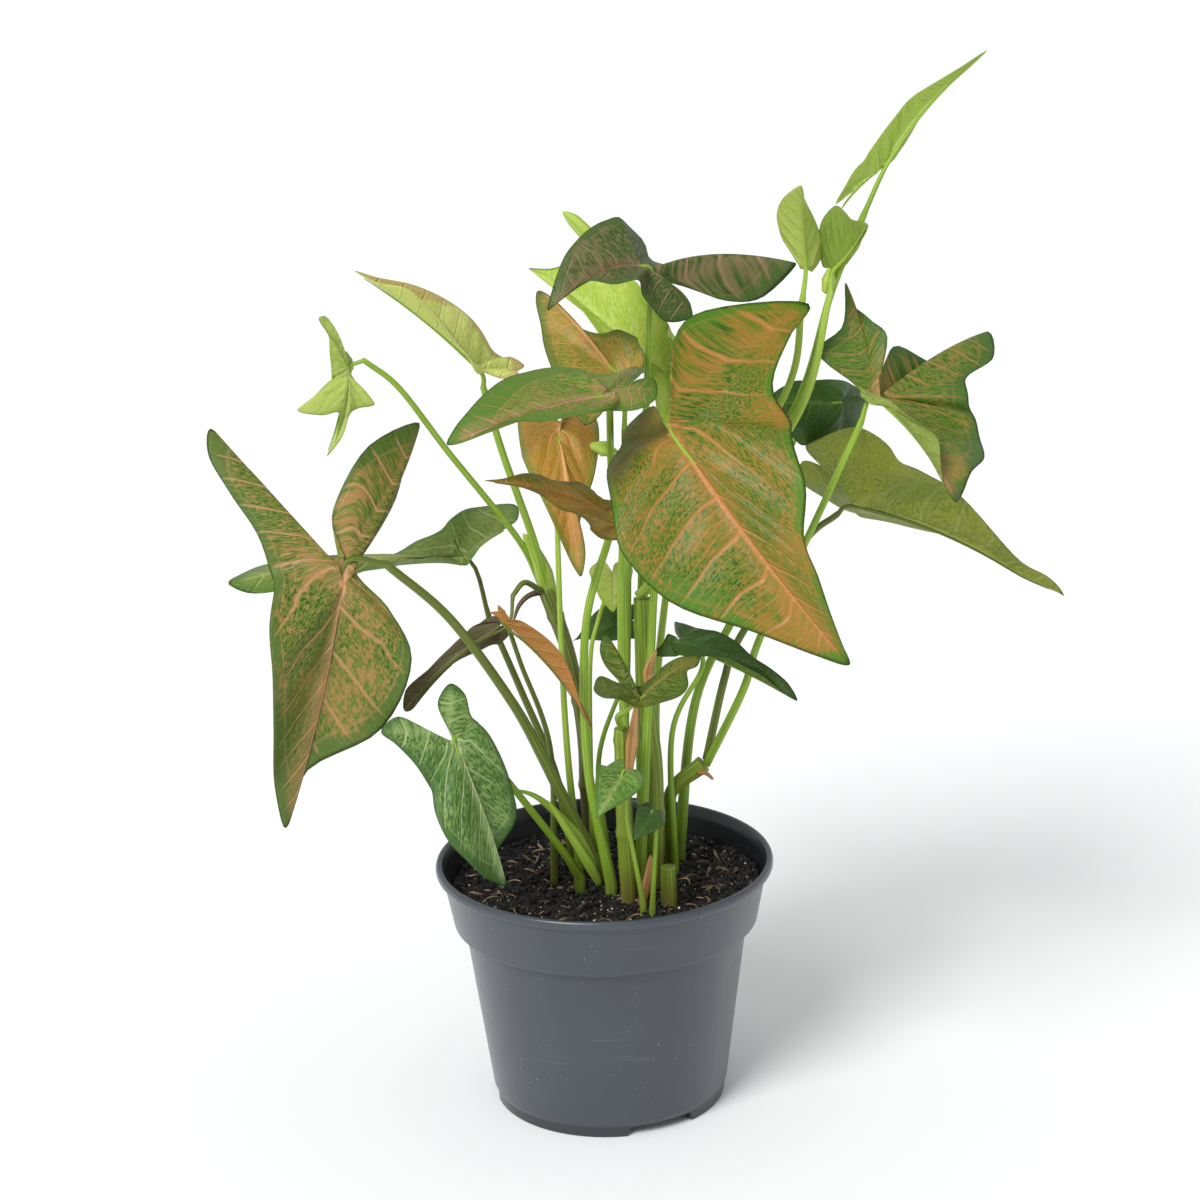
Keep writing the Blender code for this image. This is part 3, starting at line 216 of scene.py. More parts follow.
def ringed(name, rings, chart, finishes, second_from=None):
    """A closed skin through rings of points, (rows, columns, 3), with a fan over each end ring.

    chart, (rows, columns + 1, 2), is its UV map. Rows from second_from take the second finish.
    """
    rows, columns, _ = rings.shape
    row, column = np.meshgrid(np.arange(rows - 1), np.arange(columns), indexing="ij")
    corners = np.array([(0, 0), (0, 1), (1, 1), (1, 0)])
    at_row, at_column = row[..., None] + corners[:, 0], column[..., None] + corners[:, 1]
    quads = (at_row * columns + at_column % columns).reshape(-1, 4)
    here = np.arange(columns)
    beside = (here + 1) % columns
    start, end = rows * columns, rows * columns + 1
    last = (rows - 1) * columns
    fans = np.vstack([
        np.stack([np.full(columns, start), beside, here], 1),
        np.stack([np.full(columns, end), last + here, last + beside], 1),
    ])
    points = np.vstack([rings.reshape(-1, 3), rings[[0, -1]].mean(1)])
    mesh = bpy.data.meshes.new(name)
    mesh.from_pydata(points, [], [*quads.tolist(), *fans.tolist()])
    ends = chart[[0, -1]]
    middle = np.repeat(ends[:, :-1].mean(1), columns, 0)
    fan_chart = np.stack([middle, ends[:, 1:].reshape(-1, 2), ends[:, :-1].reshape(-1, 2)], 1)
    fan_chart[columns:] = fan_chart[columns:, [0, 2, 1]]
    layer = mesh.uv_layers.new(name="chart")
    uv = np.concatenate([chart[at_row, at_column].ravel(), fan_chart.ravel()])
    layer.data.foreach_set("uv", uv)
    mesh.polygons.foreach_set("use_smooth", np.ones(len(mesh.polygons), bool))
    if second_from is not None:
        row_slots = np.repeat(np.arange(rows - 1) >= second_from, columns)
        slots = np.concatenate([row_slots, np.zeros(columns), np.ones(columns)])
        mesh.polygons.foreach_set("material_index", slots.astype(int))
    for finish in finishes:
        mesh.materials.append(finish)
    mesh.update()
    return placed(name, mesh)


def take_place(piece, node):
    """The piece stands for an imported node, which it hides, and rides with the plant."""
    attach(piece, "root")
    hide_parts(node)


def rounded(corners, radius):
    """The corners of a profile, each but the ends swapped for a parabola that starts and ends
    radius from it, or half a side where the side is short."""
    p = np.array(corners, float)
    into, out = p[:-2] - p[1:-1], p[2:] - p[1:-1]
    size_in, size_out = (np.linalg.norm(v, axis=1, keepdims=True) for v in (into, out))
    before = p[1:-1] + into * np.minimum(radius / size_in, 0.5)
    after = p[1:-1] + out * np.minimum(radius / size_out, 0.5)
    t = np.linspace(0, 1, ROUNDING_STEPS)[:, None, None]
    arcs = (1 - t) ** 2 * before + 2 * t * (1 - t) * p[1:-1] + t**2 * after
    return np.vstack([p[:1], arcs.transpose(1, 0, 2).reshape(-1, 2), p[-1:]])


# From the middle of the underside out and up to the lip, and down the inside: radius and height
POT_PROFILE = rounded([
    (POT_MIDDLE, 0),
    (PAD_RADIUS, 0),
    (PAD_RADIUS + PAD_SLOPE, FOOT_HEIGHT),
    (FOOT_RADIUS - FOOT_WALL, FOOT_HEIGHT),
    (FOOT_RADIUS - FOOT_WALL, 0),
    (FOOT_RADIUS, 0),
    (FOOT_RADIUS, FOOT_HEIGHT),
    (BODY_LOW_RADIUS, FOOT_HEIGHT + SHOULDER),
    (BODY_TOP_RADIUS, COLLAR_LOW_HEIGHT - SHOULDER),
    (COLLAR_LOW_RADIUS, COLLAR_LOW_HEIGHT),
    (COLLAR_TOP_RADIUS, POT_HEIGHT - LIP_FOOT),
    *((RIM_RADIUS - inward * MM, POT_HEIGHT - down * MM) for inward, down in LIP),
    (COLLAR_TOP_RADIUS - WALL, POT_HEIGHT - INSIDE_TOP),
    (COLLAR_LOW_RADIUS - WALL, COLLAR_LOW_HEIGHT + INSIDE_SHOULDER[1]),
    (BODY_TOP_RADIUS - WALL, COLLAR_LOW_HEIGHT - INSIDE_SHOULDER[0]),
    (BODY_LOW_RADIUS - WALL, FOOT_HEIGHT + WALL),
    (PAD_RADIUS + INSIDE_SLOPE[0], FOOT_HEIGHT + WALL),
    (PAD_RADIUS - INSIDE_SLOPE[1], WALL),
    (POT_MIDDLE, WALL),
], POT_ROUNDING)


def run_along(points):
    """How far each point lies from the first along a line of them."""
    return np.concatenate([[0], np.cumsum(np.linalg.norm(np.diff(points, axis=0), axis=1))])


def chart_of(sides, line):
    """A chart of a rod or pot: turns round it, one column more than its sides, and how far along
    its line, in tenths of a metre."""
    turn = np.arange(sides + 1) / sides
    return np.stack(np.broadcast_arrays(turn, run_along(line)[:, None] / (100 * MM)), -1)


def turned(profile, sides):
    """Rings of a profile of radius and height carried once round +Z, and their chart."""
    angle = math.tau * (np.arange(sides) / sides)
    r, z = profile[:, :1], profile[:, 1:]
    rings = np.stack([r * np.cos(angle), r * np.sin(angle), z + 0 * angle], -1)
    return rings, chart_of(sides, profile)


def pulse(x, half_width, edge):
    """1 within half_width of 0, and 0 beyond, with sides about edge wide."""
    return np.clip((half_width - abs(x)) / edge + 0.5, 0, 1)


def pot_plastic(name, shades):
    """Slate plastic: fine orange peel, faint cloudiness, a foot ring darkened with painted shade,
    pale dust specks, and the level scuffs of stacking."""
    made, shader, place, _ = new_material(name, 0.36, Coat_Weight=0.25, Coat_Roughness=0.22)
    x, y, height = place.parts()
    cloud = place.noise(38, 4)
    speck = place.noise(900, 2).ramp(0.70, 0.76) * place.noise(60, 2).ramp(0.48, 0.62)
    scuff = joined(x * 14, y * 14, height * 160).noise(1.0, 4).ramp(0.60, 0.72)
    light, pale, low = shades
    tone = cloud.blend(light, pale)
    # painted shade: the foot ring, below 3 to 6 mm, turns to the third and darkest tone
    tone = (height.ramp(3 * MM, 6 * MM) * -0.7 + 0.7).blend(tone, low)
    tone = (scuff * 0.16).blend(tone, SCUFFED)
    tone = (speck * 0.7).blend(tone, DUST)
    rough = cloud * 0.12 + scuff * 0.1 + 0.30
    feed(shader, tone, rough, place.noise(1600, 2) * 0.4 + cloud * 0.6, 0.0001, 0.25)
    return made


POT_RINGS, POT_CHART = turned(POT_PROFILE, POT_SIDES)
ANGLE = np.arange(POT_SIDES) / POT_SIDES * math.tau
FROM_NOTCH = (ANGLE - NOTCH_TURN + math.pi / NOTCHES) % (math.tau / NOTCHES) - math.pi / NOTCHES
LIFT = pulse(FROM_NOTCH * FOOT_RADIUS, NOTCH_HALF_WIDTH, NOTCH_SIDE) * NOTCH_RISE
IN_FOOT = (POT_PROFILE[:, 0] > FOOT_RADIUS - NOTCH_REACH) & (POT_PROFILE[:, 1] < NOTCH_RISE)
POT_RINGS[IN_FOOT, :, 2] = np.maximum(POT_RINGS[IN_FOOT, :, 2], LIFT)
LIP_ROW = int(np.argmax(POT_PROFILE[:, 1]))
# The inside, from the lip's crest down, takes a copy of the plastic darkened as painted shade
SHADED_INSIDE_PLASTIC = pot_plastic("damp_plastic", SHADED_INSIDE_TONES)
OUTSIDE_PLASTIC = pot_plastic("moulded_plastic", OUTSIDE_TONES)
pot = ringed("pot_shell", POT_RINGS, POT_CHART, [OUTSIDE_PLASTIC, SHADED_INSIDE_PLASTIC], LIP_ROW)
take_place(pot, "pot")


# Potting soil fills the pot to a finger's width below the lip: dark moist peat, lumpy and
# loose on top, with crumbs, pale grit and bits of root and bark lying on it.

SOIL_LEVEL = 80.0 * MM
SOIL_RADIUS = 54.6 * MM
SOIL_SIDES = 200
SOIL_ROWS = 56
# The soil's side and underside, from below its edge to its middle: radius and height
SOIL_SIDE = ((49.0 * MM, 66 * MM), (41.0 * MM, 5.8 * MM), (2 * MM, 5.8 * MM))
SOIL_SLOPE = 0.02  # how steeply the bed rises, to the right and to the front
# Mounds of soil: length across, octaves, seed, and height in millimetres
MOUNDS = ((24 * MM, 2, 3, 1.3), (7 * MM, 3, 5, 1.0))
MOUND_WAVES = 4
CRUMBS = 3400
CRUMB_SIZES = (0.6 * MM, 2.8 * MM)
CRUMB_SINK = 0.2  # how deep it lies, as a share of its size
GRIT = 620
GRIT_SIZES = (0.35 * MM, 1.1 * MM)
GRIT_SINK = 0.05
STREWN_REACH = 0.97
FIBRES = 150
FIBRE_REACH = 0.88
FIBRE_ROWS = 8
FIBRE_LENGTHS = (2 * MM, 9 * MM)
FIBRE_WIDTHS = (0.3 * MM, 1.0 * MM)
FIBRE_RISE = 0.9 * MM  # how high a fibre's middle lies above the soil
PEAT_SHADES = ((6, 5, 5), (22, 16, 12))
DRY_PEAT = (150, 128, 106)


def relief(x, y, scale, octaves, seed):
    """Rough ground: crossing waves in random directions, each octave half as high and long:
    the mean over the directions of the sum of sin(2 pi * way along / length + phase) / 2^octave."""
    random = np.random.default_rng(seed)
    height = np.zeros_like(x)
    for octave in range(octaves):
        for _ in range(MOUND_WAVES):
            way, phase = random.uniform(0, math.tau, 2)
            length = scale / 2**octave * random.uniform(0.7, 1.3)
            across = (x * math.cos(way) + y * math.sin(way)) / length
            height += np.sin(across * math.tau + phase) / 2**octave
    return height / MOUND_WAVES


def soil_height(x, y):
    """The soil's top: two sizes of mounds on a bed that is a little higher at the front right."""
    coarse, fine = (relief(x, y, *how) * height * MM for *how, height in MOUNDS)
    return SOIL_LEVEL + (coarse + fine) + SOIL_SLOPE * (x - y)


def soil_grain():
    """Peat: near black, brown where it dries, very rough, with a glint of moisture."""
    made, shader, place, _ = new_material("peat", 0.8)
    clump, grain = place.noise(160, 5), place.noise(900, 4)
    tone = clump.ramp(0.35, 0.7).blend(*PEAT_SHADES)
    dry = grain.ramp(0.60, 0.70) * clump.ramp(0.45, 0.6) * 0.8
    tone = dry.blend(tone, DRY_PEAT)
    feed(shader, tone, 0.9 - 0.55 * grain.ramp(0.4, 0.75), grain * 0.5 + clump, 0.0012, 1.0)
    return made


PEAT = soil_grain()
BED = np.linspace(0.02, 1, SOIL_ROWS) ** 0.8 * SOIL_RADIUS
SOIL_TOP = np.stack([BED, np.full_like(BED, SOIL_LEVEL)], 1)
SOIL_PROFILE = np.vstack([SOIL_TOP, SOIL_SIDE])[::-1]
SOIL_RINGS, SOIL_CHART = turned(SOIL_PROFILE, SOIL_SIDES)
TOP = SOIL_PROFILE[:, 1] == SOIL_LEVEL
SOIL_RINGS[TOP, :, 2] = soil_height(SOIL_RINGS[TOP, :, 0], SOIL_RINGS[TOP, :, 1])
soil = ringed("soil_bed", SOIL_RINGS, SOIL_CHART, [PEAT])
take_place(soil, "soil")


def soil_places(random, count, reach):
    """Random places on the soil, even over its area, out to reach times its radius: x, y and
    the way from its middle."""
    distance = np.sqrt(random.uniform(0, 1, count)) * SOIL_RADIUS * reach
    way = random.uniform(0, math.tau, count)
    return distance * np.cos(way), distance * np.sin(way), way


def strewn(name, points, faces, finish):
    """One piece on the soil from the points of many copies, (copies, points, 3), and arrays of
    the faces of one copy."""
    first = (np.arange(len(points)) * points.shape[1])[:, None, None]
    every = [(one + first).reshape(-1, one.shape[1]).tolist() for one in faces]
    mesh = bpy.data.meshes.new(name)
    mesh.from_pydata(points.reshape(-1, 3), [], sum(every, []))
    mesh.materials.append(finish)
    take_place(placed(name, mesh), "soil")


# A lump is an icosahedron, about 1 across before it is stretched
GOLDEN = (1 + 5**0.5) / 2
LUMP = np.array([
    (-1, GOLDEN, 0), (1, GOLDEN, 0), (-1, -GOLDEN, 0), (1, -GOLDEN, 0),
    (0, -1, GOLDEN), (0, 1, GOLDEN), (0, -1, -GOLDEN), (0, 1, -GOLDEN),
    (GOLDEN, 0, -1), (GOLDEN, 0, 1), (-GOLDEN, 0, -1), (-GOLDEN, 0, 1),
]) / 3.8
LUMP_FACES = np.array([
    (0, 11, 5), (0, 5, 1), (0, 1, 7), (0, 7, 10), (0, 10, 11), (1, 5, 9), (5, 11, 4),
    (11, 10, 2), (10, 7, 6), (7, 1, 8), (3, 9, 4), (3, 4, 2), (3, 2, 6), (3, 6, 8), (3, 8, 9),
    (4, 9, 5), (2, 4, 11), (6, 2, 10), (8, 6, 7), (9, 8, 1),
])


def scattered(name, count, sizes, sink, finish, seed):
    """Many lumps strewn over the soil, each turned, stretched and sized at random:
    point = turn(LUMP * stretch * size) + place."""
    random = np.random.default_rng(seed)
    x, y, _ = soil_places(random, count, STREWN_REACH)
    size = sizes[0] * (sizes[1] / sizes[0]) ** (random.uniform(0, 1, count) ** 1.6)
    stretch = random.uniform(0.6, 1.25, (count, 1, 3)) * size[:, None, None]
    turns, _ = np.linalg.qr(random.normal(size=(count, 3, 3)))
    turns *= np.sign(np.linalg.det(turns))[:, None, None]
    place = np.stack([x, y, soil_height(x, y) + size * (0.5 - sink)], 1)
    points = np.einsum("nij,nkj->nki", turns, LUMP[None] * stretch) + place[:, None]
    strewn(name, points, [LUMP_FACES], finish)


def mixed_grain(name, roughness, shades, cloud, low, high, fine, depth):
    """A dry grain or fibre that clouds from one shade to another, with a fine roughness."""
    made, shader, place, _ = new_material(name, roughness)
    tone = place.noise(cloud, 3).ramp(low, high).blend(*shades)
    feed(shader, tone, None, place.noise(fine), depth)
    return made


PERLITE = mixed_grain("grit", 0.75, ((214, 210, 200), (120, 98, 76)), 300, 0.4, 0.65, 1500, 0.0003)
DRY_ROOT = mixed_grain("dry_root", 0.7, ((58, 40, 28), (168, 142, 110)), 120, 0.35, 0.65, 1200, 0.0002)
scattered("soil_crumbs", CRUMBS, CRUMB_SIZES, CRUMB_SINK, PEAT, 11)
scattered("soil_grit", GRIT, GRIT_SIZES, GRIT_SINK, PERLITE, 12)


def root_fibres(random):
    """Bits of root and bark on the soil: bent three-sided slivers, tapering to both ends.

    point = place + length * ((t - 1/2) along + (1 - 4 (t - 1/2)^2) bend) + width * sqrt(t (1 - t))
    times the corner of a triangle, as t runs along the sliver from near 0 to near 1.
    """
    x, y, way = soil_places(random, FIBRES, FIBRE_REACH)
    turn = random.uniform(0, math.tau, FIBRES)
    length = random.uniform(*FIBRE_LENGTHS, FIBRES)[:, None, None]
    width = random.uniform(*FIBRE_WIDTHS, FIBRES)[:, None, None, None]
    along = np.stack([np.cos(turn), np.sin(turn), 0.12 * np.sin(way * 3)], -1)[:, None]
    aside = np.stack([-np.sin(turn), np.cos(turn), 0 * turn], -1)[:, None]
    up = np.array([0, 0, 1.0])
    t = np.linspace(0.02, 0.98, FIBRE_ROWS)
    bend = aside * 0.25 * np.sin(way * 7)[:, None, None] + up * 0.12
    middle = np.stack([x, y, soil_height(x, y) + FIBRE_RISE], -1)[:, None]
    middle = middle + along * ((t - 0.5)[:, None] * length)
    middle = middle + bend * (1 - 4 * (t - 0.5) ** 2)[:, None] * length
    corner = (np.arange(3) / 3 * math.tau)[:, None]
    spread = aside[:, None] * np.cos(corner) + up * np.sin(corner)
    spread = spread * np.sqrt(t * (1 - t))[:, None, None]
    points = (middle[:, :, None] + spread * width).reshape(FIBRES, -1, 3)
    row, column = np.meshgrid(np.arange(FIBRE_ROWS - 1), np.arange(3), indexing="ij")
    here, beside = row * 3 + column, row * 3 + (column + 1) % 3
    quads = np.stack([here, beside, beside + 3, here + 3], -1).reshape(-1, 4)
    last = 3 * (FIBRE_ROWS - 1)
    strewn("soil_fibres", points, [quads, np.array([(2, 1, 0), (last, last + 1, last + 2)])], DRY_ROOT)


root_fibres(np.random.default_rng(21))


# Every stalk is drawn the same way: a smooth path through a few places, and a round section
# carried along it. Canes are the plant's true stems, ringed where old leaves fell, and two of
# them are cut off short. They are firm and smooth, olive below and greener above.

CLEAR_HEIGHT = 84.5 * MM  # where every stalk stands clear of the soil
FOOT_DEPTH = 66.0 * MM  # the height of its foot, in the soil
ROD_SIDE = np.array([0.31, -0.93, 0.2])
GROOVE_HALF = 0.6  # in radians
SCAR_SPACING = 34 * MM
SCAR_RISE = 0.45 * MM
SCAR_HALF = 1.6 * MM
CANE_SIDES = 20
CANE_SLIM = 0.92  # what the scars stand out from, as a share of a cane's radius
STALK_LOW = 85 * MM  # the heights between which a stalk's colour changes
STALK_HIGH = 200 * MM
BLUSH = (92, 66, 44)
PALE_STREAK_AND_HIGHLIGHT = (226, 236, 170)
# Canes by name: places in millimetres from the soil up, and radii along them
CANES = {
    "left": (
        ((-5, 29), (-6, 27, 105), (-6, 24, 127), (-10, 21, 156), (-18, 18, 184)),
        (2.8, 2.4, 2.9, 2.6, 3.2),
    ),
    "centre": (
        ((17, -5), (18, -3, 122), (16, 0, 148), (16, 2, 184)),
        (4.3, 4.4, 3.9, 3.7, 3.5, 3.5, 3.6),
    ),
    "front": (((8, -22), (7, -22, 115), (7, -22, 145)), (3.0, 2.8, 2.6)),
    "right": (((24, 9), (24, 7, 109), (36, 6, 121)), (2.6, 2.4, 3.4)),
    "stub": (((22, -30), (22, -30, 97)), (3.2, 2.8)),
}


def catmull_rom(a, b, c, d, t):
    """The curve from b, at t = 0, to c, at t = 1, that heads along a to c and then b to d."""
    return b + 0.5 * t * (c - a + t * (2 * a - 5 * b + 4 * c - d + t * (3 * b - a - 3 * c + d)))


def smooth_path(points, steps):
    """Points on a Catmull-Rom curve through given ones."""
    p = np.array([*points])
    p = np.array([2 * p[0] - p[1], *p, 2 * p[-1] - p[-2]])
    t = np.linspace(0, 1, steps, endpoint=False)[:, None]
    runs = [catmull_rom(*four, t) for four in zip(p, p[1:], p[2:], p[3:])]
    return np.vstack([*runs, p[-2:-1]])


def stalk(points, steps=10):
    """A stalk's centre line. A first point of x and y alone is a foot in the soil."""
    if len(points[0]) == 3:
        return smooth_path(np.array(points, float) * MM, steps)
    foot = np.array(points[0], float) * MM
    up = [np.append(foot, CLEAR_HEIGHT), *(np.array(points[1:], float) * MM)]
    return np.vstack([np.append(foot, FOOT_DEPTH), smooth_path(up, steps)])


def unit(v):
    """Vectors made 1 long."""
    return v / np.linalg.norm(v, axis=-1, keepdims=True)


def radii_along(path, radii):
    """Radii in millimetres, spread evenly over the points of a path."""
    places = np.linspace(0, 1, len(path))
    return np.interp(places, np.linspace(0, 1, len(radii)), radii) * MM


def rod(path, radius, sides, flat=1.0, groove=0.0):
    """Rings of a round section of this radius, per point, carried along a path, and their chart.

    The section is flat times as thick across the path's own plane, and has a groove as deep as
    that share of the radius along one side.
    """
    ahead = unit(np.gradient(path, axis=0))
    across = unit(np.cross(ahead, ROD_SIDE))
    other = np.cross(ahead, across)
    angle = np.arange(sides) / sides * math.tau
    size = radius[:, None] * (1 - groove * np.exp(-((angle - math.pi) / GROOVE_HALF) ** 2))
    ring = across[:, None] * (np.cos(angle) * size)[..., None]
    ring = ring + other[:, None] * (np.sin(angle) * size * flat)[..., None]
    return path[:, None] + ring, chart_of(sides, path)


def stalk_skin(name, low, high, streak, blush=0.0):
    """A stalk's skin: low and high are its colours at STALK_LOW and STALK_HIGH, with dark and
    pale lengthwise streaks, the pale ones partly its own striping and partly painted highlight,
    and a brown blush near the soil."""
    made, shader, place, chart = new_material(name, 0.42, Specular_IOR_Level=0.35)
    turn, along, _ = chart.parts()
    _, _, height = place.parts()
    fine = joined(turn * 26, along * 2.2).noise(1.0, 3)
    broad = joined(turn * 7, along * 9).noise(1.0, 3)
    pale = tuple(0.7 * c + 0.3 * w for c, w in zip(high, PALE_STREAK_AND_HIGHLIGHT))
    tone = height.ramp(STALK_LOW, STALK_HIGH).blend(low, high)
    tone = (fine.ramp(0.42, 0.60) * 0.75).blend(tone, streak)
    # pale streaks: partly the stalk's own striping, partly painted highlight
    tone = (fine.ramp(0.44, 0.34) * 0.5).blend(tone, pale)
    tone = (broad.ramp(0.45, 0.7) * 0.3).blend(tone, low)
    tone = (height.ramp(98 * MM, 82 * MM) * (0.35 + blush)).blend(tone, BLUSH)
    feed(shader, tone, 0.36 + 0.2 * broad, fine, 0.0003, 0.5)
    return made


CANE_SKIN = stalk_skin("cane_skin", (119, 137, 38), (136, 166, 49), (96, 113, 31), 0.3)
DARK_CANE_SKIN = stalk_skin("dark_cane_skin", (98, 98, 46), (124, 142, 54), (70, 64, 38), 0.3)


def scars(along):
    """How far a cane swells at its leaf scars, which lie evenly along it."""
    from_scar = (along + 0.3 * SCAR_SPACING) % SCAR_SPACING - SCAR_SPACING / 2
    return SCAR_RISE * np.exp(-(from_scar / SCAR_HALF) ** 2)


for name, (points, radii) in CANES.items():
    path = smooth_path(stalk(points, 4), 6)
    radius = radii_along(path, radii) * CANE_SLIM + scars(run_along(path))
    rings, chart = rod(path, radius, CANE_SIDES)
    skin = DARK_CANE_SKIN if name == "left" else CANE_SKIN
    take_place(ringed("cane_skin_" + name, rings, chart, [skin]), "cane_" + name)


# Old leaf bases stay on as sheaths: green where they are fresh, papery and tan where they have
# dried. Each wraps a stalk loosely and ends in a torn point. Root nubs and low shoots stick out
# too, and the tip of a leaf shows behind the crown.

SHEATH_SIDES = 14
SHEATH_GROOVE = 0.3
PAPERY = stalk_skin("papery_sheath", (176, 130, 72), (196, 150, 92), (132, 92, 50))
FRESH = stalk_skin("fresh_sheath", (156, 186, 66), (176, 200, 84), (128, 160, 50))
BROWN = stalk_skin("root_brown", (88, 62, 38), (96, 74, 46), (60, 42, 28))
# Each one's name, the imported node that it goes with, its skin, how thick it is for its width,
# its radii and its places in millimetres
SHEATHS = (
    ("sheath_left", "cane_left", FRESH, 0.8, (3.3, 3.7, 2.6, 1.0),
     ((-16.5, 19.5, 178), (-18.6, 17.6, 189), (-21.2, 16.4, 197), (-25, 14.6, 205))),
    ("sheath_boat", "cane_front", PAPERY, 0.5, (1.6, 2.2, 0.5),
     ((16.9, -36, 163), (16.5, -36, 170), (19.5, -35, 177))),
    ("sheath_front", "cane_front", PAPERY, 0.5, (1.2, 2.6, 0.6),
     ((9.0, -26, 128), (10.4, -26, 141), (12.7, -26, 157))),
    ("sheath_foot", "cane_centre", PAPERY, 0.6, (1.8, 2.2, 0.8),
     ((12.2, -24, 80), (14.6, -22, 88), (16.2, -19, 97))),
    ("root_nub_left", "cane_left", BROWN, 1.0, (1.5, 1.1, 0.9, 0.4),
     ((-17.0, 17.6, 183), (-23.4, 16.0, 182), (-27.2, 14.0, 179), (-29.4, 12.0, 174))),
    ("root_nub_right", "cane_right", PAPERY, 1.0, (1.6, 0.9, 0.5),
     ((33.7, 4.0, 119), (36.8, 3.6, 118.4), (39.4, 3.0, 116))),
    ("sheath_spoons", "leaf_spoon_right", FRESH, 0.8, (1.6, 2.8, 1.0),
     ((78.6, -11, 291.5), (79.6, -11.4, 296), (80.4, -11.8, 300.5))),
    ("shoot_low", "leaf_rim", FRESH, 0.5, (1.6, 2.2, 1.2, 0.4),
     ((-1.6, -5, 84), (-10, -8, 101), (-21.8, -12, 116), (-31, -14, 121))),
    ("shoot_lower", "leaf_rim", FRESH, 0.5, (1.4, 2.2, 1.4, 0.3),
     ((-1.7, -10, 82), (-5.1, -12, 90), (-15, -16, 110), (-19, -18, 118))),
    ("torn_base_back", "leaf_chartreuse", FRESH, 0.5, (1.2, 3.2, 1.0),
     ((-1, 10, 237), (4, 10, 236), (9.5, 10, 233))),
    ("leaf_tip_back", "leaf_lime", FRESH, 0.3, (1.6, 3.2, 2.6, 0.6),
     ((3, 30, 301), (0, 31, 306), (-4.6, 33, 311), (-8, 34, 314))),
)
for name, node, skin, flat, radii, points in SHEATHS:
    path = smooth_path(np.array(points, float) * MM, 8)
    ends = np.sqrt(np.clip(1 - (2 * np.linspace(0, 1, len(path)) - 1) ** 16, 0.02, 1))
    rings, chart = rod(path, radii_along(path, radii) * ends, SHEATH_SIDES, flat, SHEATH_GROOVE)
    take_place(ringed(name, rings, chart, [skin]), node)


# A leaf is a thin arrow-shaped blade on a long petiole. The blade is satin above and duller
# beneath, folds a little along its midrib and waves at its margin. Its veins run from the
# midrib to a fine vein just inside the margin, and fainter ribs run back into the lobes.

BLADE_THICKNESS = 0.42 * MM
LOBE_START = math.radians(55)  # where a blade starts to follow its lobe's rib, and follows it wholly
LOBE_FULL = math.radians(100)
SINUS_HALF = math.radians(6)  # half the angle over which one lobe turns into the other
HALF_BLADE = 0.4  # half a blade's width, as a share of its midrib's length
HEART = 0.08  # where its spokes meet along the midrib, as a share of its length
LOBE_POINT = 4
# Half outlines of a flat blade with a midrib of length 1 along +X: from the notch at the
# petiole, round a basal lobe, to the tip. LOBE_POINT is the place of the lobe's own tip.
OUTLINES = {
    "arrow": (
        (-0.03, 0), (-0.10, 0.035), (-0.24, 0.10), (-0.38, 0.20), (-0.46, 0.33), (-0.34, 0.41),
        (-0.16, 0.42), (0.02, 0.405), (0.20, 0.39), (0.40, 0.33), (0.60, 0.235), (0.78, 0.125),
        (0.90, 0.05), (1, 0),
    ),
    "halberd": (
        (-0.03, 0), (-0.10, 0.045), (-0.26, 0.10), (-0.46, 0.22), (-0.62, 0.42), (-0.46, 0.44),
        (-0.26, 0.36), (-0.06, 0.27), (0.10, 0.27), (0.30, 0.30), (0.52, 0.24), (0.74, 0.13),
        (0.89, 0.05), (1, 0),
    ),
    "spade": (
        (-0.02, 0), (-0.10, 0.05), (-0.20, 0.12), (-0.30, 0.20), (-0.33, 0.29), (-0.25, 0.36),
        (-0.12, 0.39), (0.04, 0.395), (0.22, 0.38), (0.40, 0.33), (0.58, 0.25), (0.76, 0.15),
        (0.91, 0.05), (1, 0),
    ),
    "eared": (
        (-0.03, 0), (-0.12, 0.03), (-0.30, 0.07), (-0.50, 0.15), (-0.66, 0.37), (-0.50, 0.36),
        (-0.32, 0.30), (-0.12, 0.18), (0.04, 0.14), (0.18, 0.25), (0.36, 0.31), (0.54, 0.26),
        (0.74, 0.11), (1, 0),
    ),
    "petal": (
        (-0.03, 0), (-0.09, 0.03), (-0.18, 0.07), (-0.28, 0.13), (-0.37, 0.23), (-0.28, 0.25),
        (-0.15, 0.21), (0.0, 0.19), (0.13, 0.24), (0.30, 0.31), (0.50, 0.29), (0.70, 0.18),
        (0.87, 0.06), (1, 0),
    ),
    "kite": (
        (-0.05, 0), (-0.15, 0.04), (-0.30, 0.07), (-0.42, 0.12), (-0.50, 0.20), (-0.38, 0.24),
        (-0.20, 0.20), (0.02, 0.15), (0.24, 0.24), (0.44, 0.45), (0.54, 0.30), (0.68, 0.11),
        (0.85, 0.04), (1, 0),
    ),
    "young": (
        (-0.02, 0), (-0.07, 0.03), (-0.13, 0.06), (-0.18, 0.10), (-0.20, 0.14), (-0.13, 0.18),
        (-0.03, 0.20), (0.10, 0.21), (0.25, 0.21), (0.42, 0.19), (0.60, 0.145), (0.76, 0.09),
        (0.90, 0.04), (1, 0),
    ),
}

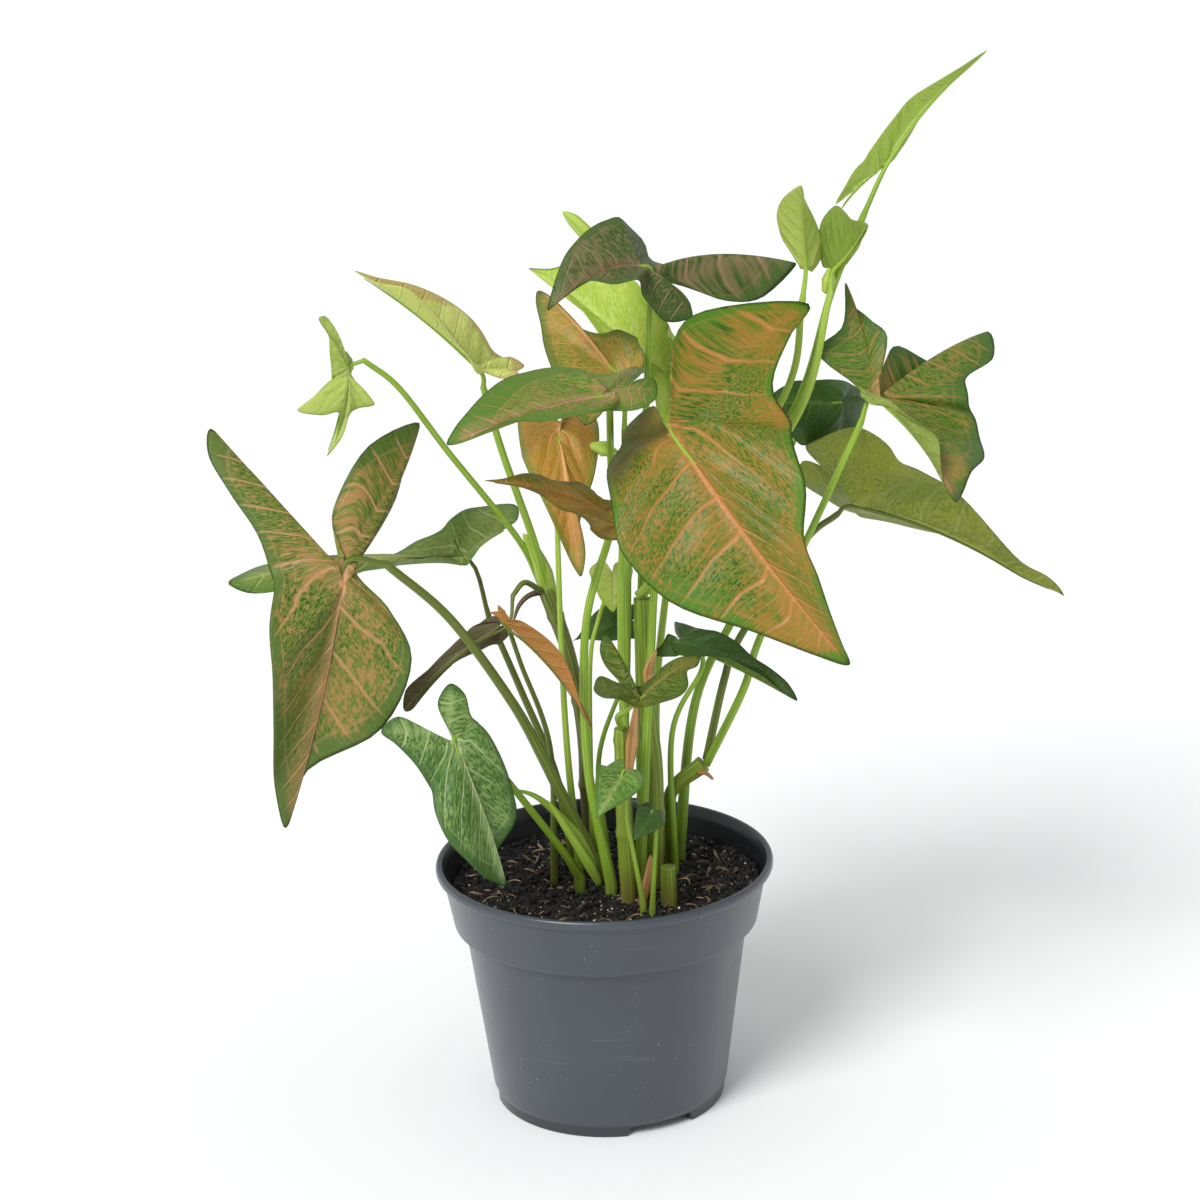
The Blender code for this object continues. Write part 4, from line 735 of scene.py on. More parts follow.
# Places round the margin of a leaf in millimetres, from the notch down its left side to the tip
# and back, as many and in the same order as the points of its outline
MARGINS = {
    "front": (
        (24.5, -47, 256.5), (28, -44.5, 264.5), (26.5, -39.5, 280.5), (37, -27.5, 290),
        (72, -15.5, 289.5), (65.5, -26, 280), (59, -41.5, 266.5), (64, -56.5, 257.5),
        (66.5, -72.5, 245.5), (66, -79, 227), (70, -83.5, 215.5), (73.5, -86.5, 204.5), (77, -87, 194.5),
        (79.5, -86, 186.5), (69, -83, 189), (49, -81, 197), (24, -77.5, 206), (8.5, -71.5, 221.5),
        (5.5, -59, 235.5), (6.5, -32.5, 243), (10, -23, 248.5), (15, -21, 254), (20.5, -23.5, 258),
        (22, -31.5, 258), (22.5, -38.5, 256.5), (23.5, -43.5, 256),
    ),
    "left_hanging": (
        (-84, -30, 211), (-85.5, -28.5, 216), (-87, -24.5, 226), (-75.5, -15, 244.5), (-59, 3, 248.5),
        (-63, -2.5, 238), (-67.5, -11, 224), (-77, -21, 213), (-80.5, -27, 205), (-69.5, -30.5, 192.5),
        (-62.5, -35, 175.5), (-73.5, -40.5, 153.5), (-98.5, -46, 141.5), (-106.5, -48, 122),
        (-109, -52, 138.5), (-107.5, -58.5, 159), (-106.5, -59.5, 179), (-107.5, -51.5, 193.5),
        (-106.5, -38, 204.5), (-111.5, -30.5, 218.5), (-120.5, -27, 233), (-127.5, -23, 245.5),
        (-126.5, -17, 253), (-116, -22.5, 240.5), (-100.5, -25.5, 222.5), (-92, -28, 213),
    ),
    "rim": (
        (-48, -42, 148), (-49, -41.5, 151), (-52, -39.5, 155), (-54.5, -35, 160.5), (-50.5, -30, 165.5),
        (-45.5, -30.5, 162), (-43.5, -34.5, 155.5), (-40, -36.5, 152.5), (-34, -36, 141.5),
        (-30.5, -34.5, 129), (-29.5, -36.5, 118), (-36.5, -40.5, 107.5), (-34.5, -44, 103),
        (-33.5, -44, 97), (-36.5, -46, 99), (-40.5, -51.5, 103.5), (-45, -57, 111), (-51.5, -57.5, 119),
        (-56, -52.5, 128), (-57.5, -46, 134), (-62, -46.5, 142.5), (-68, -48, 150.5), (-73, -48, 155.5),
        (-66.5, -46.5, 160), (-56.5, -44, 151.5), (-51.5, -42.5, 148.5),
    ),
    "crown": (
        (25, 0.5, 297.5), (28, -1, 294.5), (32.5, -2, 290.5), (34.5, -2.5, 286.5), (34, -4, 283),
        (25.5, -7.5, 283), (20.5, -10.5, 289), (17.5, -12.5, 295.5), (16, -17, 299), (9, -18.5, 298),
        (1.5, -19, 299.5), (-4, -18, 297.5), (-9, -17, 293), (-13.5, -16, 289.5), (-11.5, -12.5, 296.5),
        (-8, -9, 305), (-3, -3, 310.5), (3.5, 3, 314.5), (12, 10, 315), (18, 18.5, 307.5),
        (24, 20.5, 297.5), (53.5, 18, 290), (71, 14, 297.5), (59, 11, 286.5), (46, 7.5, 286.5),
        (32.5, 3.5, 293.5),
    ),
    "olive": (
        (7, -3, 259.5), (7, -7.5, 259.5), (5.5, -13.5, 257.5), (3, -18, 254), (-2, -21, 251.5),
        (-5.5, -18.5, 255.5), (-6.5, -14, 261), (-6.5, -9, 263), (-9.5, -8, 262), (-13, 0, 266.5),
        (-15.5, 9, 272.5), (-16.5, 17.5, 278), (-18, 24, 284.5), (-17, 30, 287.5), (-12, 27.5, 285),
        (-8, 24, 280), (-2, 18, 276), (4.5, 12, 275.5), (11, 7, 277.5), (16.5, 2.5, 275),
        (18.5, -1.5, 270.5), (17.5, -5.5, 267.5), (15.5, -9, 265.5), (12.5, -9, 263), (9.5, -6, 260.5),
        (7.5, -3, 259),
    ),
    "shelf": (
        (8.5, -53.5, 269.5), (11, -53.5, 271.5), (16, -51.5, 273.5), (20.5, -48.5, 272.5),
        (21.5, -47.5, 268.5), (20, -52, 266), (13.5, -57.5, 264.5), (5.5, -63.5, 266), (-4, -75, 267.5),
        (-14.5, -79.5, 267), (-26, -82.5, 268), (-33, -84.5, 266), (-39, -84.5, 262.5), (-45, -84, 261.5),
        (-42.5, -80, 266), (-38.5, -76, 270), (-33, -70, 274.5), (-26, -62, 277.5), (-16, -53, 278),
        (-3, -40, 274.5), (7, -31.5, 271), (14, -26, 272), (17.5, -25.5, 270.5), (15.5, -34, 270),
        (13, -42, 270), (10, -49, 269.5),
    ),
    "lime": (
        (32.5, 24.5, 252.5), (32, 19.5, 251.5), (31.5, 13, 248.5), (29, 8, 244), (24, 5.5, 240.5),
        (20.5, 7.5, 261.5), (17, 12, 264), (12, 18.5, 266.5), (5.5, 22.5, 271), (0.5, 30.5, 276),
        (-4.5, 39.5, 281), (-10, 48, 285), (-14, 55, 288), (-21, 62, 289.5), (-13, 58, 290),
        (-4.5, 52, 293), (8, 43, 293.5), (17, 34.5, 288.5), (23, 28.5, 280.5), (27, 21.5, 275),
        (29.5, 14.5, 270.5), (30.5, 8, 266.5), (43, 4.5, 260.5), (40, 8.5, 255.5), (37, 16, 252.5),
        (34, 22.5, 252.5),
    ),
    "right": (
        (96, -10.5, 260.5), (99, -6.5, 266), (104, 2, 270.5), (121.5, 14, 260.5), (137, 24, 270),
        (138, 13, 263), (127.5, 0.5, 259.5), (126, -11.5, 257), (127.5, -12, 250), (129.5, -17, 242.5),
        (129.5, -29, 238.5), (123.5, -42, 237), (119.5, -50.5, 232), (116.5, -56, 231),
        (113.5, -52.5, 235), (112.5, -49.5, 242.5), (112.5, -43.5, 248.5), (107.5, -35.5, 252),
        (102, -24.5, 255), (95, -16.5, 258), (76, -10, 271), (85, -3.5, 279), (86.5, 4, 292),
        (88.5, 2.5, 285.5), (94, -3, 281), (99.5, -8.5, 275.5),
    ),
    "lower_right": (
        (89.5, 20, 212), (85.5, 22, 218.5), (80, 24.5, 223.5), (73.5, 28.5, 224.5), (73, 34.5, 216),
        (81, 40, 208.5), (89.5, 42.5, 202.5), (95, 45, 199.5), (103, 52.5, 195.5), (115.5, 49, 193),
        (131, 41.5, 190.5), (147.5, 33, 184), (160.5, 27, 176), (165.5, 22.5, 174), (158.5, 18.5, 183),
        (146.5, 13.5, 192), (127, 7.5, 215.5), (113.5, 1, 226), (106, -3.5, 230.5), (101.5, -0, 235.5),
        (93, 1, 242), (86, 1.5, 242.5), (76, 5.5, 237.5), (73.5, 12.5, 233), (79.5, 17, 225),
        (86, 19, 217.5),
    ),
    "right_shade": (
        (88, 22.5, 248), (91, 22, 249), (94.5, 24.5, 247.5), (96.5, 29, 245), (96.5, 32, 242),
        (94.5, 28, 239.5), (91.5, 22, 237.5), (85.5, 17, 236.5), (78.5, 11, 236), (72.5, 9, 235),
        (69.5, 7.5, 237.5), (66, 6, 242), (61.5, 6.5, 247.5), (58.5, 8, 250.5), (63, 10, 254),
        (66.5, 10.5, 256), (70, 10.5, 257.5), (75, 12.5, 257), (82.5, 18, 256), (89.5, 28.5, 252.5),
        (94.5, 34.5, 248.5), (96.5, 37, 245.5), (97.5, 37, 243), (96.5, 32, 243.5), (92.5, 28.5, 244.5),
        (89, 25, 246),
    ),
    "furled_top": (
        (96.5, -14, 333.5), (94.5, -12, 331.5), (90, -11, 327.5), (85.5, -10, 322), (84.5, -9.5, 319.5),
        (89.5, -7.5, 325.5), (94, -6.5, 329.5), (100.5, -5.5, 333.5), (105, -4.5, 338.5),
        (109, -4.5, 345), (113, -5, 352.5), (116.5, -6.5, 356.5), (124.5, -8, 362.5), (131.5, -10, 369.5),
        (122, -10.5, 364), (113, -11, 359), (106.5, -11.5, 355), (101.5, -12.5, 349.5),
        (96.5, -14, 343.5), (92.5, -16, 338.5), (88.5, -17.5, 334), (84.5, -18.5, 328),
        (81.5, -18.5, 322.5), (85, -17.5, 324.5), (89, -16, 329.5), (93.5, -15, 332.5),
    ),
    "spoon_left": (
        (72, -11.5, 301), (72.5, -10, 300.5), (73, -8.5, 299.5), (74, -8.5, 299), (74.5, -8.5, 298.5),
        (76.5, -8.5, 301), (77.5, -9, 304), (77.5, -10, 308), (76.5, -12, 313), (74.5, -15.5, 318),
        (72.5, -19.5, 322), (71, -23, 325.5), (70.5, -27, 328), (69.5, -30, 330.5), (68, -27.5, 329.5),
        (65.5, -23.5, 327), (63.5, -18.5, 323.5), (62.5, -14.5, 318.5), (63.5, -11.5, 313),
        (65.5, -10, 308.5), (68, -10, 305.5), (69.5, -8.5, 302.5), (70.5, -7.5, 299.5), (71, -8, 299.5),
        (71.5, -9.5, 300), (72, -11, 300.5),
    ),
    "spoon_right": (
        (81.5, -13.5, 301.5), (81.5, -13, 300.5), (81.5, -12.5, 299.5), (81, -12.5, 298.5),
        (80.5, -13.5, 297.5), (82, -14.5, 299), (83, -16, 300), (84.5, -17, 301.5), (86, -19.5, 304),
        (87.5, -23, 307), (88.5, -26, 309.5), (89.5, -28.5, 313), (90.5, -31, 315.5), (90.5, -33, 318),
        (88.5, -30, 318.5), (86, -26, 318.5), (84.5, -21, 320), (82, -16, 321.5), (79.5, -12.5, 319),
        (77.5, -10.5, 315.5), (76.5, -9.5, 310), (77, -8, 305), (78, -7.5, 300), (79, -8.5, 300),
        (79.5, -10.5, 300.5), (80.5, -12.5, 301),
    ),
    "furled_left": (
        (-33, -9.5, 268.5), (-29.5, -9.5, 269), (-26.5, -9, 268.5), (-24, -9.5, 267.5), (-25, -11, 266.5),
        (-30, -13.5, 266.5), (-36, -16, 270.5), (-39.5, -21.5, 276), (-43, -25.5, 281),
        (-48.5, -28.5, 290), (-54, -31, 297), (-59, -32, 301.5), (-67.5, -32.5, 303.5), (-75, -33, 307.5),
        (-68, -29, 304.5), (-58, -23, 301), (-49.5, -17, 296), (-41.5, -10.5, 289), (-36.5, -5.5, 282),
        (-33.5, -2.5, 275.5), (-30, 1, 271), (-26.5, 4, 270), (-22.5, 5, 267), (-23.5, 2, 266),
        (-27, -2.5, 266), (-30.5, -6, 267),
    ),
    "nodding": (
        (-81, -16, 278), (-80.5, -15, 277.5), (-79.5, -13.5, 275.5), (-79, -11.5, 274),
        (-79, -9.5, 271.5), (-79.5, -10, 270), (-79.5, -12.5, 268.5), (-77.5, -14.5, 265.5),
        (-74.5, -16.5, 263.5), (-72, -16.5, 259.5), (-77.5, -19.5, 259), (-80, -23, 257.5),
        (-82.5, -25.5, 251), (-88, -26, 244.5), (-85, -25.5, 249.5), (-83, -26, 259), (-88.5, -30, 259.5),
        (-96, -33, 262), (-91.5, -25, 264.5), (-85.5, -19.5, 269), (-85.5, -22, 279), (-85.5, -23.5, 285),
        (-88.5, -22.5, 290), (-86, -21, 290.5), (-83, -19.5, 285.5), (-81.5, -18, 280.5),
    ),
    "boat": (
        (9.5, -50, 170.5), (7.5, -49.5, 171.5), (2.5, -47.5, 175.5), (0.5, -44, 180.5), (2.5, -40, 184.5),
        (6.5, -39, 178), (9, -40.5, 171), (11.5, -42, 168), (15.5, -39.5, 167), (19, -37, 169),
        (22, -36.5, 172), (26.5, -36.5, 174.5), (30.5, -36.5, 175), (34, -36, 174.5), (33, -38.5, 172),
        (29.5, -42, 171.5), (29.5, -47.5, 168), (26, -52.5, 166), (16.5, -56.5, 164.5), (8.5, -55, 165.5),
        (2, -57.5, 168), (-1.5, -61, 171.5), (-1.5, -62, 174.5), (0.5, -58, 176), (4.5, -54, 173),
        (7, -51.5, 171),
    ),
    "dark_right": (
        (30, -3.5, 168.5), (29, -1.5, 168.5), (28, 2.5, 169), (27, 7, 170), (27, 10, 172.5),
        (29, 7.5, 173), (32.5, 3.5, 173), (36, -5, 174.5), (41.5, -9, 174.5), (47.5, -13, 172),
        (52.5, -19, 168.5), (58, -24, 166), (64, -28, 161.5), (67, -29, 155.5), (62.5, -27.5, 158),
        (56, -26.5, 163.5), (49.5, -25.5, 167), (43, -22.5, 169.5), (35.5, -17.5, 168.5),
        (29.5, -12, 167), (26, -6, 165), (21.5, -4, 164.5), (18.5, -2, 165), (22, -1.5, 168),
        (24.5, -1.5, 172), (27.5, -2.5, 168.5),
    ),
    "chartreuse": (
        (5.5, 23.5, 187.5), (6, 24.5, 188.5), (6.5, 26.5, 189.5), (8, 29.5, 189.5), (9.5, 31, 189),
        (11.5, 29, 189), (12.5, 25.5, 189), (13, 22.5, 188), (12.5, 18.5, 187), (12, 15, 185.5),
        (10.5, 12, 183.5), (9, 9, 181.5), (7, 7, 179.5), (5.5, 6, 178), (3.5, 7.5, 179.5),
        (1.5, 9, 181.5), (-0, 11.5, 184), (-1.5, 15, 186), (-2, 18.5, 187.5), (-2.5, 22.5, 188),
        (-2, 25.5, 188.5), (-0.5, 29, 189), (1.5, 31, 189.5), (3.5, 29, 189.5), (4.5, 27, 188.5),
        (5.5, 24.5, 187.5),
    ),
    "left_back": (
        (-43.5, 13, 196), (-42, 11.5, 199.5), (-40.5, 10, 203), (-36.5, 8, 206), (-31, 3, 209.5),
        (-35, 1, 207.5), (-39.5, 2, 204), (-43.5, 1, 199), (-51.5, -8, 201.5), (-63, -17, 204),
        (-76, -20, 203.5), (-97, -16.5, 197.5), (-116.5, -11, 193.5), (-125.5, -9, 196.5),
        (-122, -2, 198), (-113, 9, 198.5), (-93, 20.5, 197), (-73.5, 26.5, 195), (-61.5, 25.5, 201),
        (-52, 23, 207), (-46.5, 31, 209.5), (-40, 39.5, 208.5), (-28.5, 43, 208), (-27.5, 32, 205),
        (-35, 24, 203), (-41, 17.5, 200.5),
    ),
    "drooping": (
        (-36, 0.5, 175.5), (-35.5, 1.5, 178), (-34, 1.5, 179), (-32, 0.5, 179.5), (-31, -1, 180),
        (-34.5, -2, 180.5), (-39.5, -2.5, 179), (-44.5, -3, 176), (-49.5, -7, 172.5), (-55, -11.5, 168.5),
        (-59.5, -15.5, 165), (-64.5, -19, 162), (-66.5, -22.5, 159.5), (-66.5, -26, 155),
        (-63.5, -22.5, 154.5), (-60, -16.5, 159), (-55, -9.5, 161.5), (-50, -3, 164), (-43.5, 1, 166),
        (-38.5, 3.5, 167.5), (-34, 2, 169), (-31.5, 4.5, 170.5), (-30, 6, 172.5), (-31, 5, 173.5),
        (-32, 3, 174), (-34, 1, 174.5),
    ),
    "peach": (
        (-10.5, 15, 245), (-9.5, 17, 247.5), (-8.5, 23, 249), (-6, 31, 248.5), (-3.5, 37, 246),
        (1, 31.5, 242.5), (2.5, 22.5, 238.5), (2, 14, 233.5), (0.5, 4.5, 228), (-2.5, -2.5, 221),
        (-5, -10.5, 214.5), (-3.5, -17, 209.5), (-3.5, -21, 205), (-5, -22, 199.5), (-7.5, -19, 202),
        (-10, -17, 207), (-13.5, -14, 215), (-17.5, -8.5, 223), (-22, 0, 230.5), (-24.5, 12.5, 233.5),
        (-25.5, 21, 239), (-25.5, 28.5, 243.5), (-22.5, 33, 247), (-19, 29, 249), (-15.5, 23.5, 247),
        (-12.5, 18.5, 245),
    ),
    "amber": (
        (4.5, -34, 226.5), (7.5, -34, 226), (10, -33.5, 224), (11.5, -33, 220), (12.5, -33.5, 216.5),
        (6.5, -37, 216), (1.5, -40.5, 218), (-1.5, -44, 222.5), (-5, -52, 229), (-11, -55, 232),
        (-16.5, -57, 237), (-22, -58, 240), (-29, -58.5, 242), (-35, -58, 243), (-29, -54, 242.5),
        (-23, -50, 243), (-18, -43.5, 241), (-13, -36.5, 237), (-7, -29, 234.5), (-2, -23.5, 230.5),
        (2.5, -22, 226.5), (8, -21, 225), (13, -22.5, 223.5), (12.5, -26.5, 224), (8.5, -29.5, 224.5),
        (5, -32, 225),
    ),
}


@dataclass
class Leaf:
    """A leaf by its real places in millimetres: where the petiole meets the blade, the blade's
    tip, and the ends of its left and right lobes, seen from above with the tip ahead."""

    name: str
    kind: str
    joint: tuple
    tip: tuple
    left: tuple
    right: tuple
    petiole: tuple
    girth: float = 1.3  # the petiole's radius in millimetres
    bow: float = 0.12  # how far the midrib arches, as a share of its length
    width: float = 1.0  # how wide the blade is, for its outline's own width
    fold: float = 12.0  # degrees that each half rises from the midrib
    curl: float = 0.0  # further degrees at the margin
    ripple: float = 1.5  # how far the margin waves, in millimetres
    waves: int = 5  # waves round the margin
    roll: float = 0.0  # degrees that the blade turns about its midrib, its left side up
    hook: float = 0.0  # how far the tip turns up, as a share of the midrib's length


def ease(x, low, high):
    """0 below low, 1 above high, and smooth between."""
    t = np.clip((x - low) / (high - low), 0, 1)
    return t * t * (3 - 2 * t)


def round_ring(ring, turn):
    """A Catmull-Rom curve once round a closed ring of points, as turn goes from 0 to 1."""
    place = np.asarray(turn) * len(ring)
    i = np.floor(place).astype(int)
    t = (place - i)[..., None]
    a, b, c, d = (ring[(i + k) % len(ring)] for k in (-1, 0, 1, 2))
    return catmull_rom(a, b, c, d, t)


def margin(kind, turn):
    """The flat blade's edge: turn 0 is the notch, then the left side, 0.5 the tip, and back."""
    half = np.array(OUTLINES[kind], float)
    return round_ring(np.vstack([half, half[-2:0:-1] * (1, -1)]), turn)


def along_rib(start, end, normal, bow, share, aside, scale, fold, curl):
    """Where a blade point lies that is share of the way along a rib and aside of it.

    The rib is an arc from start to end, bowed towards normal. Across it the blade rises by
    the angle fold, which grows by curl towards the margin.
    """
    length = np.linalg.norm(end - start)
    middle = (start + end) / 2 + normal * bow * length
    a = np.clip(share, 0, 1)[..., None]
    point = (1 - a) ** 2 * start + 2 * a * (1 - a) * middle + a**2 * end
    ahead = unit((1 - a) * (middle - start) + a * (end - middle))
    point = point + ahead * (share[..., None] - a) * length
    side = unit(np.cross(normal, ahead))
    up = np.cross(ahead, side)
    rate = math.radians(curl) / HALF_BLADE + 1e-4
    angle = math.radians(fold)
    out = (np.sin(angle + rate * abs(aside)) - math.sin(angle)) / rate * np.sign(aside)
    rise = (math.cos(angle) - np.cos(angle + rate * abs(aside))) / rate
    return point + (side * out[..., None] + up * rise[..., None]) * scale, up


def facing(leaf):
    """Which way the upper face looks, from the places of the tip and the lobes, and the roll."""
    places = (leaf.joint, leaf.tip, leaf.left, leaf.right)
    joint, tip, left, right = (np.array(p, float) for p in places)
    face = unit(np.cross(tip - joint, left - right))
    aside = np.cross(face, unit(tip - joint))
    return face * math.cos(math.radians(leaf.roll)) - aside * math.sin(math.radians(leaf.roll))


def ribbed_points(leaf, turn, reach):
    """The blade's surface before its margin is set, and the flat place of each point.

    Three ribs carry the flat blade: the midrib, and one into each lobe. A point follows the
    midrib ahead of the petiole and its lobe's rib behind it, and blends between them. The
    margin waves up and down, and the tip may hook up.
    """
    places = (leaf.joint, leaf.tip, leaf.left, leaf.right)
    joint, tip, left, right = (np.array(p) * MM for p in places)
    edge = margin(leaf.kind, turn)
    flat = np.stack([HEART + (edge[..., 0] - HEART) * reach, edge[..., 1] * reach], -1)
    x, y = flat[..., 0], flat[..., 1] * leaf.width
    length = np.linalg.norm(tip - joint)
    face = facing(leaf)
    place, up = along_rib(joint, tip, face, leaf.bow, x, y, length, leaf.fold, leaf.curl)

    def on_lobe(end, hand):
        """The surface round the rib into the lobe that ends there, hand 1 left and -1 right."""
        rib = np.array(OUTLINES[leaf.kind][LOBE_POINT]) * (1, hand * leaf.width)
        size = np.linalg.norm(rib)
        normal = unit(face + unit(np.cross(tip - joint, end - joint) * hand))
        ahead = (x * rib[0] + y * rib[1]) / size**2
        aside = (y * rib[0] - x * rib[1]) / size
        scale = math.sqrt(np.linalg.norm(end - joint) / size * length)
        shape = (normal, leaf.bow, ahead, aside, scale, leaf.fold / 2, leaf.curl)
        return along_rib(joint, end, *shape)[0]

    around = np.arctan2(y, x) % math.tau
    on_left = 1 - ease(around, math.pi - SINUS_HALF, math.pi + SINUS_HALF)[..., None]
    lobes = on_left * on_lobe(left, 1) + (1 - on_left) * on_lobe(right, -1)
    behind = ease(np.minimum(around, math.tau - around), LOBE_START, LOBE_FULL)[..., None]
    wave = leaf.ripple * MM * reach**2 * np.sin(math.tau * leaf.waves * turn)
    lift = wave + leaf.hook * length * ease(x, 0.7, 1) ** 2
    return place + behind * (lobes - place) + up * lift[..., None], flat


def blade_points(leaf, turn, reach):
    """The blade's surface: turn goes round the margin and reach from the petiole to it.

    The ribbed surface is moved, by more and more from the petiole out, so that its margin
    passes through the leaf's own places in MARGINS. The flat place is returned too.
    """
    place, flat = ribbed_points(leaf, turn, reach)
    if leaf.name in MARGINS:
        ring = np.array(MARGINS[leaf.name]) * MM
        ring = ring - ribbed_points(leaf, np.arange(len(ring)) / len(ring), np.ones(len(ring)))[0]
        place = place + round_ring(ring, turn) * np.asarray(reach)[..., None]
    return place, flat


@dataclass
class Tones:
    """A blade's colours, as sRGB out of 255, and how its pattern is spread."""

    ground: tuple
    mottle: tuple
    dark: tuple
    vein: tuple
    edge: tuple
    under: tuple
    mottled: float = 0.5  # share of the ground that the mottle covers
    speckled: float = 0.5  # how strongly the dark speckles show
    veined: float = 0.8  # how strongly the veins are coloured
    edge_wide: float = 0.14  # the margin's own colour, as a share of the way to the petiole


VEINS = 7  # side veins to a midrib's length
FINE_VEINS = 28
VEIN_HALF = 0.013  # a side vein's half width, as a share of the midrib's length
FINE_VEIN_HALF = 0.005
MIDRIB_HALF = 0.016
# A side vein that is s out has run SWEEP * s + SWEEP_CURVE * s^2 forward, for a midrib of 1
SWEEP = 0.75
SWEEP_CURVE = 0.35
CHART_SPAN = 3  # midrib lengths across a blade's chart
GRAIN_LENGTH = 90 * MM  # the length of blade for which the pattern's scales are given
LOBE_SWEEP = 0.8
LOBE_VEINS = (math.radians(74), math.radians(77))  # where the lobe's rib takes over
STREAKS = (64, 110)  # streaks to a midrib's length along the veins' run, and across the chart
FRECKLES = (130, 220)
BLADE_ROUGHNESS = 0.40
PALE_VEIN = (235, 240, 190)


def vein_map(x, side, kind):
    """Wires over a flat blade: midrib, side veins and fine veins, then where along its rib the
    side vein through a place starts, how far out from the rib the place is, and the lobes.

    Ahead of the petiole a side vein is a line of constant x - SWEEP * side - SWEEP_CURVE *
    side^2. Behind it the lobe's rib takes the midrib's place.
    """
    rib = np.array(OUTLINES[kind][LOBE_POINT])
    rib = rib / np.linalg.norm(rib)
    behind = side.math("ARCTAN2", x).ramp(*LOBE_VEINS)
    along_lobe = x * rib[0] + side * rib[1]
    off_lobe = abs(side * rib[0] - x * rib[1])
    ahead = x - SWEEP * side - SWEEP_CURVE * side * side
    lobe_ahead = along_lobe - LOBE_SWEEP * off_lobe
    run = ahead + behind * (lobe_ahead - ahead)
    out = side + behind * (off_lobe - side)
    wander = joined(x * 4, side * 4).noise(1.0, 3) - 0.5
    run = run + 0.06 * wander
    taper = 1 - x.ramp(0.1, 1.0) * 0.6

    def lines(number, wide):
        """Evenly spaced lines, wider towards the midrib."""
        saw = abs((run * number + 0.5).math("FRACT") - 0.5) / number
        return 1 - (saw / (wide * (1 - 0.5 * out.ramp(0.0, 0.35)))).ramp(0.0, 1.0)

    midrib = (1 - (out / (MIDRIB_HALF * taper)).ramp(0.15, 1.0)) * (1 - 0.85 * behind)
    side_veins, fine_veins = lines(VEINS, VEIN_HALF), lines(FINE_VEINS, FINE_VEIN_HALF)
    return midrib, side_veins, fine_veins, run, out, behind


def blade_skins(name, kind, tones, length):
    """The blade's two finishes. Above: ground and mottle in streaks along the side veins, dark
    speckles, coloured veins and an inner margin vein, and a margin of its own colour. Below:
    paler and rougher, fainter in its mottle, with its veins raised."""
    grain = length / GRAIN_LENGTH
    skins = []
    for side_name, rough in (("_upper", 0.36), ("_under", 0.50)):
        made, shader, place, chart = new_material(
            name + side_name, BLADE_ROUGHNESS, Specular_IOR_Level=0.28)
        u, v, _ = chart.parts()
        x, side = (u - 0.5) * CHART_SPAN, abs((v - 0.5) * CHART_SPAN)
        reach = x.node("ShaderNodeAttribute", {"attribute_name": "reach"}, 2)
        midrib, main, fine, run, out, behind = vein_map(x, side, kind)
        streaks, freckles = (
            joined(run * ahead * grain, (v - 0.5) * across * grain).noise(1.0, *how)
            for ahead, across, *how in ((*STREAKS, 4, 0.78), (*FRECKLES, 2, 0.6)))
        patches = place.noise(55, 3, 0.5)
        cells = place.noise(1100, 1)
        veins = (midrib + main * (0.62 - 0.4 * out.ramp(0.0, 0.4)) * (0.5 + patches)).most(1.0)
        if side_name == "_upper":
            cover = streaks * 0.74 + patches * 0.26 - 0.12 * veins
            middle = 0.5 + 0.16 * (0.5 - tones.mottled)
            tone = cover.ramp(middle - 0.03, middle + 0.03).blend(tones.ground, tones.mottle)
            spots = freckles.ramp(0.50, 0.60) * patches.ramp(0.30, 0.56) * tones.speckled
            tone = (spots * (1 - veins)).blend(tone, tones.dark)
            rim = reach + 0.5 * (patches - 0.5) + 0.2 * (streaks - 0.5)
            rim = rim.ramp(0.94 - tones.edge_wide, 1.06 - tones.edge_wide)
            tone = (rim * 0.8).blend(tone, tones.edge)
            glow = (1 - (out / 0.07).ramp(0.0, 1.0)) * (1 - behind) * 0.35
            shown = (veins + fine * 0.18 + glow).most(1.0) * tones.veined
            inner = 1 - abs(reach - (1 - tones.edge_wide)).ramp(0.0, 0.022)
            shown = shown.math("MAXIMUM", inner * 0.25 * tones.veined)
            tone = (shown * (1 - reach.ramp(0.9, 0.97))).blend(tone, tones.vein)
            height = 0.6 - 0.6 * veins - 0.12 * fine + 0.10 * cells - 0.15 * inner
            height = height + 0.15 * patches
        else:
            tone = (cells * 0.25 + streaks * 0.4).blend(tones.under, tones.ground)
            tone = (0.45 + 0.2 * patches).blend(tone, tones.under)
            cover = (streaks * 0.6 + patches * 0.4).ramp(0.47, 0.54) * 0.6 * tones.mottled
            tone = cover.blend(tone, tones.mottle)
            tone = (freckles.ramp(0.54, 0.62) * 0.5 * tones.speckled).blend(tone, tones.dark)
            pale = tuple(0.55 * c + 0.45 * w for c, w in zip(tones.under, PALE_VEIN))
            tone = ((veins + fine * 0.2).most(1.0) * 0.45).blend(tone, pale)
            height = 0.4 + 0.6 * veins + 0.12 * fine - 0.10 * cells
        tone = (reach.ramp(0.975, 1.0) * 0.35).blend(tone, tuple(0.7 * c for c in tones.edge))
        feed(shader, tone, rough + 0.14 * patches - 0.06 * veins, height, 0.0009, 0.7)
        skins.append(made)
    return skins


